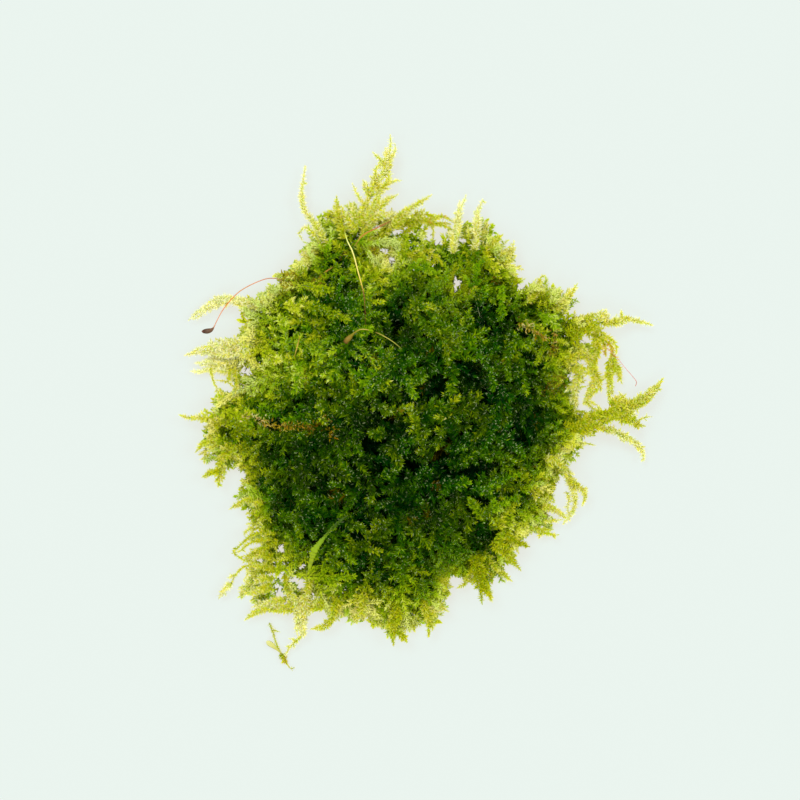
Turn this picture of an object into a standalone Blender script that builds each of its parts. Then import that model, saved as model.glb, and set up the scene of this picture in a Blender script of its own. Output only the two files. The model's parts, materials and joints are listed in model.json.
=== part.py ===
# A picked clump of feather moss lying flat, in metres, +Z up: one dense mat of tangled leafy
# shoots, the free shoots that stand out round its rim, the spore stalks, and the dead stems
# and the bare blade that lie on it. The origin is on the surface, under the middle of the
# clump. +Y is the end with the tallest shoot, and +X is to the right of it, seen from above.

import math
import random

import bmesh
import bpy
from mathutils import Vector, geometry, noise
from mathutils.bvhtree import BVHTree

# Driving dimensions, in millimetres
MM = 0.001
GAP = 0.35  # air between any two pieces
RIM_THICKNESS = 2.6  # of the mat at its rim
RIM_OVERHANG = 1.2  # how far the rim stands out past the flat underside
RIM_STEP = 2.3  # from one shoot tip to the next along the rim
RIM_TEETH = 0.7  # how far those tips stand out and draw in
CROWN = 14.5  # height of the mat's middle, without its tufts
SHOULDER = 27.0  # how far in from the rim the mat reaches its full height
GAP_SLOPE = 2.4  # how much steeper the mat falls away round the gaps through it
TUFT_SPACING = 2.25
TUFT_HEIGHT = 3.0
TUFT_LEAN = 1.0
TUFT_SCATTER = 0.5  # how far a tuft stands from its place in the grid
HOLLOW_DEPTH = 0.7
LUMP_SIZE = 11.0
LUMP_HEIGHT = 2.2
LEAF_PITCH = 2.0  # from one pair of leaf tips to the next along a shoot
SHOOT_FLATNESS = 0.62  # a shoot's thickness over its width
LEAF_GAP = 0.56  # a shoot's width between its leaf tips, over its width at them
STALK_STEP = 2.0
STALK_SIDES = 6
STALK_REACH = 1.2  # a stalk lies on the highest tufts this near to it
SEED = 7

LEAF_GREEN = (0.30, 0.42, 0.03)
DARK_GREEN = (0.06, 0.13, 0.01)
PALE_GREEN = (0.55, 0.58, 0.12)
SETA_ORANGE = (0.45, 0.13, 0.03)
SETA_STRAW = (0.55, 0.47, 0.16)
DEAD_BROWN = (0.27, 0.13, 0.06)

# The mat's outline, seen from above, in clockwise order from its top left.
OUTLINE = [
    (-23.5, 30.0), (-19.5, 35.0), (-15.0, 36.0), (-10.5, 37.5), (-5.0, 36.5), (0.5, 37.0),
    (3.0, 32.0), (7.0, 34.0), (12.0, 34.5), (17.5, 31.0), (20.5, 25.5), (26.5, 23.0),
    (31.5, 19.5), (34.0, 16.0), (32.0, 12.5), (31.0, 10.0), (29.0, 6.5), (29.5, 2.0),
    (31.5, -1.5), (34.0, -4.5), (31.5, -8.0), (29.5, -11.0), (25.5, -14.0), (24.5, -19.0),
    (25.0, -23.0), (20.5, -26.5), (18.5, -30.5), (14.5, -34.0), (9.5, -34.5), (6.0, -33.5),
    (5.0, -39.0), (2.5, -43.0), (-2.0, -43.5), (-5.5, -45.5), (-9.5, -42.0), (-16.0, -42.0),
    (-21.0, -40.0), (-27.0, -40.5), (-32.0, -39.5), (-32.5, -35.0), (-31.0, -30.5),
    (-31.5, -25.5), (-33.0, -21.0), (-35.0, -18.0), (-35.0, -13.5), (-38.5, -11.5),
    (-42.5, -10.0), (-43.0, -6.0), (-42.5, -2.0), (-40.0, 1.0), (-36.0, 2.5), (-34.5, 5.5),
    (-37.5, 8.0), (-42.0, 9.5), (-41.0, 12.0), (-35.0, 13.5), (-35.5, 19.0), (-31.5, 22.0),
    (-27.5, 26.0),
]

# Gaps through the mat: middle, half width and half length.
GAPS_THROUGH = [
    ((7.0, 23.5), 1.2, 2.0),
    ((-7.0, 29.5), 1.7, 1.7),
    ((-27.5, -29.5), 1.0, 1.5),
    ((-23.5, -36.0), 1.2, 1.9),
]
GAP_SIDES = 8

# Free shoots: width, then the points of the stem from the mat to the tip. The forks of a shoot
# follow it in the same way, and start on its stem.
SHOOTS = {
    "shoot_north_tall": [
        (2.9, [(-11.0, 30.5, 5), (-10.5, 36, 4.5), (-10, 41.5, 4.5), (-8, 46, 4), (-6, 50, 3.5),
               (-6.5, 53.4, 3)]),
        (1.5, [(-7.5, 47, 4), (-8.5, 48.5, 4.4), (-9.8, 50, 4.5)]),
        (1.5, [(-8.8, 44, 4.2), (-6, 44, 4.6), (-3.5, 44.5, 4.2)]),
        (1.5, [(-10, 39, 4.6), (-7.5, 40.5, 5.2), (-4.5, 42, 5)]),
        (1.5, [(-10.2, 40, 4.6), (-12, 42, 5), (-13.5, 44, 4.6)]),
    ],
    "shoot_northwest_thin": [
        (1.5, [(-18.5, 31.5, 4), (-21.5, 36.5, 3.5), (-23.5, 39, 3), (-24, 42, 2.5), (-23.5, 48, 2)]),
    ],
    "shoot_northwest_curl": [
        (1.4, [(-20, 32, 3.2), (-22.5, 34.5, 4), (-24.5, 35.3, 4.4), (-25.8, 34, 4), (-25.2, 32.4, 3.4)]),
    ],
    "shoot_north_spike": [
        (1.6, [(-15.5, 33, 4), (-16.5, 38, 4.5), (-17, 41.5, 5)]),
    ],
    "shoot_north_arm": [
        (2.1, [(-5.5, 32, 6), (-3.5, 37, 7), (-1, 40, 6.5), (2, 42, 5.5)]),
    ],
    "shoot_north_pair_left": [
        (1.6, [(6.5, 30, 5), (7.5, 36.5, 4.5), (8, 39.5, 4), (9, 42, 4)]),
    ],
    "shoot_north_pair_right": [
        (1.6, [(11, 30.5, 5), (11.5, 36, 4), (11.5, 39, 3.5), (12.5, 41, 3.5)]),
    ],
    "shoot_north_arch": [
        (1.4, [(-3.5, 36, 3), (-1.2, 38.6, 3.4), (1.5, 39.2, 3.8), (4, 38.4, 3.6), (6.2, 36.6, 3)]),
    ],
    "shoot_northeast_top": [
        (1.6, [(14, 31, 5.4), (16, 34.2, 4.8), (17.6, 36.6, 4)]),
    ],
    "shoot_northeast_red": [
        (1.5, [(17.5, 27.5, 5.4), (20.2, 30.6, 4.8), (22, 32.4, 4)]),
    ],
    "shoot_northeast_spike": [
        (1.4, [(21.5, 20, 5), (23.5, 23.5, 5), (24.5, 26.5, 5)]),
    ],
    "shoot_northeast_knob": [
        (1.8, [(27, 18, 4.5), (29.5, 21, 4.5), (31.5, 24, 4)]),
    ],
    "shoot_east_upper": [
        (1.7, [(29.5, 13, 5), (34.5, 15.5, 4.5), (38.5, 17, 4), (42.5, 17, 3.2), (47, 16, 2.2)]),
        (2.0, [(36.3, 16.3, 4.3), (36.5, 18, 4.6), (37, 19.6, 4.6)]),
    ],
    "shoot_east_hook": [
        (1.4, [(30, 17, 2), (34.2, 16.6, 1.6), (37.6, 13, 1.6), (39, 10, 2), (39.5, 7.5, 2), (41.5, 4, 1.6)]),
        (1.4, [(39, 9, 2), (38.5, 6, 2.4), (38.5, 2.5, 2)]),
    ],
    "shoot_east_loop": [
        (1.6, [(28.5, 10, 4), (33, 10, 3.4), (34.6, 6, 3), (34, 2, 3), (36, 0.2, 2.6)]),
    ],
    "shoot_east_main": [
        (2.5, [(28, -5, 5), (34.5, -3.5, 5), (39.5, -1, 4.6), (44, 0.5, 4), (47, 3, 3.6), (48.6, 5.2, 3.4)]),
        (2.0, [(39, -1.4, 4.6), (42, -2.8, 4.2), (45, -4.2, 3.6)]),
        (1.9, [(35.5, -3.4, 5), (38.5, -5.5, 4.2), (42.5, -7, 3.2), (44.5, -9, 2.4), (45, -11.5, 1.8)]),
    ],
    "shoot_east_twig": [
        (1.3, [(28.5, -8, 2.5), (31.5, -7.8, 2.4), (35.5, -8.6, 2)]),
    ],
    "shoot_southeast_arch": [
        (2.1, [(25, -12, 5), (28, -14.5, 5), (30.5, -16.5, 4.5), (33, -17.8, 4), (33.2, -20.5, 3)]),
        (1.7, [(30.3, -16.4, 4.5), (31, -19.5, 3.6), (30.5, -22, 2.6), (29.5, -24, 2)]),
    ],
    "shoot_southeast_low": [
        (1.7, [(21, -22, 3), (25, -25, 2.6), (28.5, -26.6, 2)]),
    ],
    "shoot_southeast_knob": [
        (1.6, [(16, -25.5, 5.5), (18.8, -27.6, 5.5), (22, -28.8, 4.6)]),
    ],
    "shoot_south_by_east_upper": [
        (2.0, [(14.5, -27.5, 6), (18.2, -31, 5), (20.2, -33.8, 4)]),
    ],
    "shoot_south_by_east_low": [
        (1.4, [(12.5, -30, 3), (16, -34, 2.6), (18.5, -36, 2)]),
    ],
    "shoot_south_by_east_long": [
        (2.1, [(10.5, -30.5, 6), (12.3, -36, 5), (12.5, -40.5, 4)]),
        (1.4, [(12.4, -36.5, 4.9), (13.6, -38, 4.6), (14.6, -39.8, 4.4)]),
    ],
    "shoot_south_twig": [
        (1.4, [(11, -32, 2.6), (9.2, -36.4, 2.2), (7.6, -37.6, 2)]),
    ],
    "shoot_south_tuft_right": [
        (2.2, [(0, -38.5, 4.5), (1.8, -43.5, 4), (2.2, -47, 3.4)]),
    ],
    "shoot_south_tuft_corner": [
        (1.5, [(2, -38, 4), (4.6, -41.6, 4), (6.5, -42.6, 3.6)]),
    ],
    "shoot_south_tuft": [
        (2.4, [(-4.5, -39.5, 5), (-5.2, -45, 4.4), (-5.5, -49, 3.4)]),
        (1.6, [(-5.2, -45.3, 4.4), (-4, -46.8, 4.4), (-2.6, -48, 4)]),
    ],
    "shoot_south_short": [
        (1.8, [(-11, -39, 4.6), (-12.2, -44, 4), (-13.6, -46.4, 3.2)]),
    ],
    "shoot_south_trailing": [
        (1.7, [(-24, -36.5, 2.6), (-23.5, -42, 2.6), (-23.5, -45.5, 2.4), (-24.5, -47.6, 1.9),
               (-27, -49.6, 1.5)]),
    ],
    "shoot_south_hook": [
        (1.6, [(-15.5, -38.5, 4), (-17.3, -43, 3.5), (-19, -45, 3), (-22, -45.6, 3.6)]),
    ],
    "sprig_fallen": [
        (1.2, [(-30, -43.6, 0.9), (-29.6, -47, 0.8), (-28.4, -50, 0.8), (-25.6, -53.4, 0.7)]),
        (1.5, [(-28.4, -50, 0.8), (-29.8, -49.2, 0.9), (-31.2, -48.2, 0.9)]),
    ],
    "shoot_southwest_long": [
        (2.0, [(-22.5, -38.5, 3), (-27.5, -41.8, 3), (-32, -41.8, 2.8), (-36, -44.2, 2)]),
    ],
    "shoot_southwest_short": [
        (1.7, [(-29.5, -36, 3.4), (-33, -38, 3.4), (-36.4, -38.6, 3)]),
    ],
    "shoot_southwest_thin": [
        (1.6, [(-29.5, -32.5, 3), (-34, -33, 3), (-36.5, -34, 2.6), (-38.5, -36, 2.2), (-41, -40, 1.6)]),
    ],
    "shoot_southwest_loop": [
        (1.2, [(-29, -25.5, 4.5), (-33.5, -26.6, 5), (-36.5, -28.6, 4.8), (-37.6, -30.3, 4.6),
               (-35.4, -31.4, 4.4)]),
    ],
    "shoot_west_low": [
        (1.8, [(-31.5, -20, 4), (-36, -19.6, 3.8), (-39, -21.5, 3)]),
    ],
    "shoot_west_hanging": [
        (1.8, [(-37.5, -8, 4.5), (-40.2, -12.5, 4), (-40.5, -17, 3)]),
        (1.3, [(-40.4, -14, 3.8), (-41.8, -13.9, 4), (-44, -15, 3.6)]),
    ],
    "shoot_west_twig": [
        (1.4, [(-40, -7.5, 3.6), (-43.4, -8, 4), (-45.2, -10, 3.8)]),
    ],
    "shoot_west_long": [
        (2.0, [(-37.5, -4, 5), (-41.5, -3.5, 4.5), (-45, -3, 4), (-47, -3.4, 3.5), (-48.8, -2.6, 3.2)]),
    ],
    "shoot_west_upper": [
        (2.2, [(-33.5, 10, 5), (-39, 10.8, 4.6), (-43.5, 10.5, 4), (-47.5, 9.4, 3)]),
        (1.6, [(-40.5, 10.8, 4.5), (-42, 12.2, 5), (-43.6, 13.4, 5)]),
    ],
    "shoot_west_pale": [
        (1.6, [(-36, 7.5, 2), (-41.5, 7.4, 1.8), (-46.5, 6.4, 1.4)]),
    ],
    "shoot_west_bridge": [
        (1.6, [(-38.6, 7, 4.4), (-41.2, 5.6, 4.4), (-41.4, 3.5, 4.2), (-39, 1.2, 4.2)]),
    ],
    "shoot_west_northwest": [
        (2.0, [(-31.5, 19.5, 4), (-35.5, 20, 3.6), (-39.5, 21, 3), (-43.5, 19, 2.4), (-47, 17, 1.8)]),
    ],
}

# Stalks, stems and a blade that lie on the mat: colour, then for each point its x, its y, its
# height (over the mat where it lies on it, over the surface where it has left it) and the radius.
STALKS = {
    "sporophyte_dark_capsule": (SETA_ORANGE, [
        (-22.5, 23, "over", 0.6, 0.18), (-25, 24, "over", 1.6, 0.2), (-27.5, 24.8, "at", 11, 0.2),
        (-31, 24.6, "at", 11, 0.2), (-36, 22.4, "at", 9.8, 0.2), (-39.5, 19, "at", 8.6, 0.22),
        (-41, 16.2, "at", 7.8, 0.25), (-41.8, 14.9, "at", 7.4, 0.45), (-42.8, 14.5, "at", 7.2, 0.6),
        (-43.7, 14.4, "at", 7, 0.45), (-44.3, 14.4, "at", 6.9, 0.18),
    ]),
    "sporophyte_pale_capsule": (SETA_STRAW, [
        (-4.5, 12, "over", 0.3, 0.18), (-9, 14, "over", 1, 0.18), (-11.5, 14.5, "over", 1.2, 0.18),
        (-13.2, 13.7, "over", 1.2, 0.28), (-14, 12.9, "over", 1.2, 0.5), (-14.8, 12, "over", 1, 0.4),
        (-15.3, 11.4, "over", 0.9, 0.2),
    ]),
    "seta_straw": (SETA_STRAW, [
        (-15.2, 34.3, "over", 1, 0.18), (-13.5, 30, "over", 0.8, 0.18), (-12.5, 26, "over", 0.8, 0.2),
        (-11, 21, "over", 0.6, 0.2), (-10.3, 18, "over", 0.3, 0.2),
    ]),
    "seta_red_thin": (SETA_ORANGE, [
        (33.6, 13.6, "at", 7.2, 0.16), (36, 12.2, "at", 7.2, 0.16), (38.5, 10, "at", 6.6, 0.16),
        (41, 7, "at", 5.6, 0.15), (43.5, 4.5, "at", 4.8, 0.14), (43.2, 3, "at", 4.4, 0.14),
    ]),
    "stem_brown_north": (DEAD_BROWN, [
        (-13.2, 31.4, "over", 0.4, 0.25), (-11.5, 33.5, "over", 0.5, 0.25),
        (-8.5, 35.2, "over", 0.6, 0.22), (-6, 36.6, "over", 1, 0.18),
    ]),
    "stem_brown_northwest": (DEAD_BROWN, [
        (-20.8, 24.2, "over", 0.4, 0.28), (-19, 25.8, "over", 0.6, 0.28),
        (-16.6, 27.2, "over", 0.4, 0.2),
    ]),
    "stem_dead_west": (DEAD_BROWN, [
        (-34.5, -3, "over", 0.4, 0.5), (-30, -4, "over", 0.6, 0.8), (-26.5, -5, "over", 0.6, 0.7),
        (-22, -4.6, "over", 0.5, 0.5), (-19.5, -4.2, "over", 0.3, 0.25),
    ]),
    "stem_dead_east": (DEAD_BROWN, [
        (20, 16.8, "over", 0.4, 0.4), (22, 15.2, "over", 0.6, 0.45), (25, 12.8, "over", 0.4, 0.3),
    ]),
    "stem_dead_north": (DEAD_BROWN, [
        (10.6, 23.6, "over", 0.4, 0.3), (9.6, 21.6, "over", 0.5, 0.35), (8.6, 19.4, "over", 0.3, 0.2),
    ]),
    "blade_bare_green": (PALE_GREEN, [
        (-13.6, -21, "over", 0.5, 0.4), (-15.5, -22.6, "over", 0.8, 0.55),
        (-18, -25.5, "over", 1.1, 0.7), (-21, -28.6, "over", 0.9, 0.85),
        (-22.2, -31, "over", 0.7, 0.7), (-23, -33.2, "over", 0.4, 0.3),
    ]),
}


def clear_scene():
    for old in list(bpy.data.objects):
        bpy.data.objects.remove(old, do_unlink=True)


def finish(obj, colour, roughness):
    """Gives the object a material of its own."""
    material = bpy.data.materials.new(obj.name + "_finish")
    material.use_nodes = True
    shader = material.node_tree.nodes["Principled BSDF"]
    shader.inputs["Base Color"].default_value = (*colour, 1.0)
    shader.inputs["Roughness"].default_value = roughness
    shader.inputs["Metallic"].default_value = 0.0
    obj.data.materials.append(material)


def new_object(name, bm):
    """A mesh object from a bmesh in millimetres, with its faces pointing out."""
    bmesh.ops.recalc_face_normals(bm, faces=bm.faces)
    bmesh.ops.scale(bm, vec=(MM, MM, MM), verts=bm.verts)
    mesh = bpy.data.meshes.new(name)
    bm.to_mesh(mesh)
    bm.free()
    obj = bpy.data.objects.new(name, mesh)
    bpy.context.scene.collection.objects.link(obj)
    return obj


def on_curve(a, b, c, d, t):
    """A point between b and c on the smooth curve through four points."""
    near = 2 * b + (c - a) * t
    far = (2 * a - 5 * b + 4 * c - d) * t**2 + (3 * b - a - 3 * c + d) * t**3
    return (near + far) / 2


def smooth_curve(points, step, closed=False):
    """Points about a step apart on the smooth curve through the given ones."""
    count = len(points)
    fine = []
    spans = count if closed else count - 1
    for i in range(spans):
        if closed:
            ends = [points[(i + k - 1) % count] for k in range(4)]
        else:
            ends = [points[min(max(i + k - 1, 0), count - 1)] for k in range(4)]
        fine += [on_curve(*ends, k / 16) for k in range(16)]
    fine.append(points[0] if closed else points[-1])
    travel = [0.0]
    for a, b in zip(fine, fine[1:]):
        travel.append(travel[-1] + (b - a).length)
    stretches = max(2, round(travel[-1] / step))
    curve = []
    k = 0
    for i in range(stretches + (0 if closed else 1)):
        goal = travel[-1] * i / stretches
        while k < len(fine) - 2 and travel[k + 1] < goal:
            k += 1
        span = travel[k + 1] - travel[k]
        part = (goal - travel[k]) / span if span > 0 else 0.0
        curve.append(fine[k].lerp(fine[k + 1], min(part, 1.0)))
    return curve


def inside(point, loop):
    """Whether a point lies within a closed loop, seen from above."""
    crossings = 0
    for a, b in zip(loop, loop[1:] + loop[:1]):
        if (a.y > point.y) != (b.y > point.y):
            if point.x < a.x + (b.x - a.x) * (point.y - a.y) / (b.y - a.y):
                crossings += 1
    return crossings % 2 == 1


def distance_to(point, loop):
    best = math.inf
    for a, b in zip(loop, loop[1:] + loop[:1]):
        near, part = geometry.intersect_point_line(point, a, b)
        near = a.lerp(b, min(max(part, 0.0), 1.0))
        best = min(best, (point - near).length)
    return best


def pushed(loop, out):
    """The loop with each point moved out from its middle line by out(index)."""
    moved = []
    for i, point in enumerate(loop):
        along = loop[(i + 1) % len(loop)] - loop[i - 1]
        normal = Vector((-along.y, along.x)).normalized()
        moved.append(point + normal * out(i))
    return moved


def mat_height(point, outline, gaps):
    """The mat's own height at a point, without its tufts."""
    depth = distance_to(point, outline)
    for gap in gaps:
        depth = min(depth, GAP_SLOPE * distance_to(point, gap))
    rise = 1 - (1 - min(depth / SHOULDER, 1.0)) ** 2
    lump = noise.noise(Vector((point.x / LUMP_SIZE, point.y / LUMP_SIZE, 0.0)))
    return RIM_THICKNESS + (CROWN - RIM_THICKNESS) * rise + LUMP_HEIGHT * lump * rise


def tuft_points(outline, gaps):
    """Tufts and the hollows between them, on a hexagonal grid: place, lean and lift of each."""
    dice = random.Random(SEED)
    reach = max(max(abs(p.x), abs(p.y)) for p in outline)
    row_height = TUFT_SPACING * math.sqrt(3) / 2
    rows = math.ceil(reach / row_height)
    columns = math.ceil(reach / TUFT_SPACING)
    found = []
    for row in range(-rows, rows + 1):
        for column in range(-columns, columns + 1):
            x = (column + 0.5 * (row % 2)) * TUFT_SPACING + dice.uniform(-TUFT_SCATTER, TUFT_SCATTER)
            y = row * row_height + dice.uniform(-TUFT_SCATTER, TUFT_SCATTER)
            lift = dice.uniform(0.4, 1.0) * TUFT_HEIGHT
            turn = dice.uniform(0, 2 * math.pi)
            lean = Vector((math.cos(turn), math.sin(turn))) * TUFT_LEAN
            point = Vector((x, y))
            if not inside(point, outline) or distance_to(point, outline) < 0.6 * TUFT_SPACING:
                continue
            if any(inside(point, gap) or distance_to(point, gap) < 0.9 for gap in gaps):
                continue
            if (column - row // 2 + 2 * row) % 3 == 0:
                found.append((point, lean, lift))
            else:
                found.append((point, Vector((0.0, 0.0)), -lift / TUFT_HEIGHT * HOLLOW_DEPTH))
    return found


def filled(loops, points):
    """Triangles that fill the first loop but not the others, through all the points."""
    corners = [p for loop in loops for p in loop] + points
    edges = []
    start = 0
    for loop in loops:
        edges += [(start + i, start + (i + 1) % len(loop)) for i in range(len(loop))]
        start += len(loop)
    corners, _, faces, _, _, _ = geometry.delaunay_2d_cdt(corners, edges, [], 0, 1e-5)
    kept = []
    for face in faces:
        middle = sum((corners[i] for i in face), Vector((0.0, 0.0))) / 3
        if inside(middle, loops[0]) and not any(inside(middle, gap) for gap in loops[1:]):
            kept.append(face)
    return kept


def moss_mat():
    """The dense middle of the clump: a low dome of tufts with a toothed rim and a flat underside."""
    curve = smooth_curve([Vector(p) for p in OUTLINE], RIM_STEP / 2, closed=True)
    if len(curve) % 2:
        curve.pop()
    rim = pushed(curve, lambda i: RIM_TEETH * (1 if i % 2 else -1))
    foot = pushed(curve, lambda i: -RIM_OVERHANG)
    gaps = []
    for middle, half_width, half_length in GAPS_THROUGH:
        turns = [2 * math.pi * i / GAP_SIDES for i in range(GAP_SIDES)]
        gaps.append([
            Vector(middle) + Vector((half_width * math.sin(turn), half_length * math.cos(turn)))
            for turn in turns
        ])
    tufts = tuft_points(rim, gaps)
    loops = [rim, *gaps]
    edge = [p for loop in loops for p in loop]
    lower_edge = [p for loop in [foot, *gaps] for p in loop]

    bm = bmesh.new()
    upper = [bm.verts.new((p.x, p.y, RIM_THICKNESS)) for p in edge]
    for i in range(len(rim), len(edge)):
        upper[i].co.z = 0.75 * mat_height(edge[i], rim, [])
    for point, lean, lift in tufts:
        top = point + lean
        upper.append(bm.verts.new((top.x, top.y, mat_height(point, rim, gaps) + lift)))
    for face in filled(loops, [point for point, _, _ in tufts]):
        bm.faces.new([upper[i] for i in face])
    lower = [bm.verts.new((p.x, p.y, 0.0)) for p in lower_edge]
    for face in filled([foot, *gaps], []):
        bm.faces.new([lower[i] for i in reversed(face)])
    start = 0
    for loop in loops:
        for i in range(len(loop)):
            a, b = start + i, start + (i + 1) % len(loop)
            bm.faces.new([upper[a], upper[b], lower[b], lower[a]])
        start += len(loop)
    bmesh.ops.triangulate(bm, faces=bm.faces)
    bmesh.ops.recalc_face_normals(bm, faces=bm.faces)
    tree = BVHTree.FromBMesh(bm)
    obj = new_object("moss_mat", bm)
    finish(obj, DARK_GREEN, 0.7)
    return tree


def top_of(tree, x, y):
    """The height of the mat's surface above a point, or 0 beside it."""
    hit = tree.ray_cast(Vector((x, y, 100.0)), Vector((0, 0, -1)))[0]
    return hit.z if hit else 0.0


def highest_near(tree, x, y, reach):
    """The highest the mat comes within a reach of a point."""
    turns = [math.pi * k / 3 for k in range(6)]
    ring = [(x + reach * math.cos(turn), y + reach * math.sin(turn)) for turn in turns]
    return max(top_of(tree, *place) for place in [(x, y), *ring])


def clear_part(curve, tree, reach):
    """The stretch of a stem, from its tip back towards the mat, that keeps the gap to the mat."""
    kept = []
    for point in reversed(curve):
        near = tree.find_nearest(point)[0]
        if (point - near).length < reach + GAP or point.z < top_of(tree, point.x, point.y):
            break
        kept.append(point)
    return kept[::-1]


def tube(bm, curve, sections):
    """Skins a curve with one ring of points for each (side, up) list of offsets, ends closed."""
    rings = []
    for i, centre in enumerate(curve):
        along = (curve[min(i + 1, len(curve) - 1)] - curve[max(i - 1, 0)]).normalized()
        side = along.cross(Vector((0, 0, 1))).normalized()
        up = side.cross(along)
        rings.append([bm.verts.new(centre + side * s + up * u) for s, u in sections[i]])
    for a, b in zip(rings, rings[1:]):
        for k in range(len(a)):
            bm.faces.new([a[k], a[(k + 1) % len(a)], b[(k + 1) % len(a)], b[k]])
    bm.faces.new(rings[0][::-1])
    bm.faces.new(rings[-1])


def shoot_solid(name, width, curve):
    """One leafy stem: a flattened, pointed form whose edges step out at each pair of leaves."""
    length = sum((b - a).length for a, b in zip(curve, curve[1:]))
    pairs = max(2, round(length / LEAF_PITCH))
    curve = smooth_curve(curve, length / (2 * pairs))
    sections = []
    last = len(curve) - 1
    for i in range(len(curve)):
        part = i / last
        taper = 1 - 0.35 * part if part < 0.8 else 0.72 - 2.4 * (part - 0.8)
        half = width / 2 * taper * (LEAF_GAP if i % 2 == 0 else 1.0)
        thick = width / 2 * taper * SHOOT_FLATNESS * (0.8 if i % 2 == 0 else 1.0)
        sections.append([(half, 0.0), (0.0, thick), (-half, 0.0), (0.0, -thick)])
    bm = bmesh.new()
    tube(bm, curve, sections)
    return new_object(name, bm)


def join(obj, fork):
    """Makes one solid of a stem and a fork that starts on it."""
    union = obj.modifiers.new("fork", "BOOLEAN")
    union.operation = "UNION"
    union.object = fork
    union.solver = "EXACT"
    fork.hide_render = True
    fork.display_type = "WIRE"


def moss_shoot(name, stems, tree):
    """A free shoot with its forks, cut off where it comes out of the mat."""
    for number, (width, points) in enumerate(stems):
        curve = smooth_curve([Vector(p) for p in points], 0.25)
        if number == 0 and name != "sprig_fallen":
            curve = clear_part(curve, tree, width * 0.45)
        if number == 0:
            obj = shoot_solid(name, width, curve)
        else:
            join(obj, shoot_solid(f"{name}_fork_{number}", width, curve))
    finish(obj, LEAF_GREEN, 0.55)


def stalk(name, colour, points, tree):
    """A round stalk whose radius swells at its capsule, on the mat's surface or clear of it."""
    centres = []
    for x, y, kind, height, radius in points:
        top = highest_near(tree, x, y, STALK_REACH) if kind == "over" else 0.0
        centres.append(Vector((x, y, top + height + radius + GAP, radius)))
    curve = smooth_curve(centres, STALK_STEP / 2)
    raised = []
    for point in curve:
        low = highest_near(tree, point.x, point.y, 2 * point.w) + point.w + GAP
        raised.append(Vector((point.x, point.y, max(point.z, low))))
    sections = []
    for point in curve:
        turns = [2 * math.pi * k / STALK_SIDES for k in range(STALK_SIDES)]
        sections.append([(point.w * math.cos(turn), point.w * math.sin(turn)) for turn in turns])
    bm = bmesh.new()
    tube(bm, raised, sections)
    obj = new_object(name, bm)
    obj.data.shade_smooth()
    finish(obj, colour, 0.4)


def main():
    clear_scene()
    tree = moss_mat()
    for name, stems in SHOOTS.items():
        moss_shoot(name, stems, tree)
    for name, (colour, points) in STALKS.items():
        stalk(name, colour, points, tree)


main()
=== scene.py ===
import json
import math

import bpy
import numpy as np
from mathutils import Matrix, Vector, kdtree
from mathutils.bvhtree import BVHTree

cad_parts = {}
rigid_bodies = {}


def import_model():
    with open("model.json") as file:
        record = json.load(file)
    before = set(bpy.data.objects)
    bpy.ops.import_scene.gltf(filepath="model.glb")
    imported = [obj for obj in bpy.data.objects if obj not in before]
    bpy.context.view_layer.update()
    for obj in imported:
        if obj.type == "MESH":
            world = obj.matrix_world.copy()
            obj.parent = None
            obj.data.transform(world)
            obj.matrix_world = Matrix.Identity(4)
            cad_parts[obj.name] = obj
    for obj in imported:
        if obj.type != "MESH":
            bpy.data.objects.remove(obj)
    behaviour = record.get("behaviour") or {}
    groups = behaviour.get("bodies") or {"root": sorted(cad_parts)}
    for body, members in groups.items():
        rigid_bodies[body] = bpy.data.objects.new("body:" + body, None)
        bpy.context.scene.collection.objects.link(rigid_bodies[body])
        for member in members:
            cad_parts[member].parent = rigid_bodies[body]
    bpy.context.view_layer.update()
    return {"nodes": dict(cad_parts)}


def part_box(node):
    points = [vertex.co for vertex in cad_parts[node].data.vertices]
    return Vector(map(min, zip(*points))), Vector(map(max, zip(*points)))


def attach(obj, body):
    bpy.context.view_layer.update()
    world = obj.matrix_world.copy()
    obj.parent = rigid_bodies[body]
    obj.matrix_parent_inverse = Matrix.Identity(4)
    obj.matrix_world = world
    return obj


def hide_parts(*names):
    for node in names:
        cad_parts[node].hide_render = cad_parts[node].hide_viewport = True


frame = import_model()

# A picked clump of feather moss on a pale floor, seen from straight above. Lengths are in
# millimetres until a mesh is made. +Y is up in the picture and +X is to the right.

mm = 0.001
lowest = 0.08  # of every point of the clump above the floor
chance = np.random.default_rng(11)  # with one seed, so that the same moss grows in every run


# Small tools

def linearColour(hexValue):
    parts = [int(hexValue[i:i + 2], 16) / 255 for i in (1, 3, 5)]
    return [p / 12.92 if p <= 0.04045 else ((p + 0.055) / 1.055) ** 2.4 for p in parts] + [1.0]


def addNode(material, name, kind, settings, feeds):  # a feed is a node's name, or its name and output
    nodes = material.node_tree.nodes
    node = nodes.get(name) or nodes.new("ShaderNode" + kind)
    node.name = name
    for key, value in settings.items():
        if key == "stops":  # the places and colours of a ramp
            while len(node.color_ramp.elements) < len(value):
                node.color_ramp.elements.new(0.5)
            for element, (place, colour) in zip(node.color_ramp.elements, value):
                element.position = place
                element.color = linearColour(colour)
        elif hasattr(node, str(key)):
            setattr(node, key, value)
        else:
            node.inputs[key].default_value = value
    for key, feed in feeds.items():
        source, output = feed if isinstance(feed, tuple) else (feed, 0)
        material.node_tree.links.new(nodes[source].outputs[output], node.inputs[key])


def newMaterial(name, rows):  # each row is a node: its name, its kind, its values and what feeds it
    material = bpy.data.materials.new(name)
    material.use_nodes = True
    for row in rows:
        addNode(material, *row)
    return material


def unit(vectors):
    return vectors / np.maximum(np.linalg.norm(vectors, axis=-1, keepdims=True), 1e-9)


# Camera, light and floor

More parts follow.
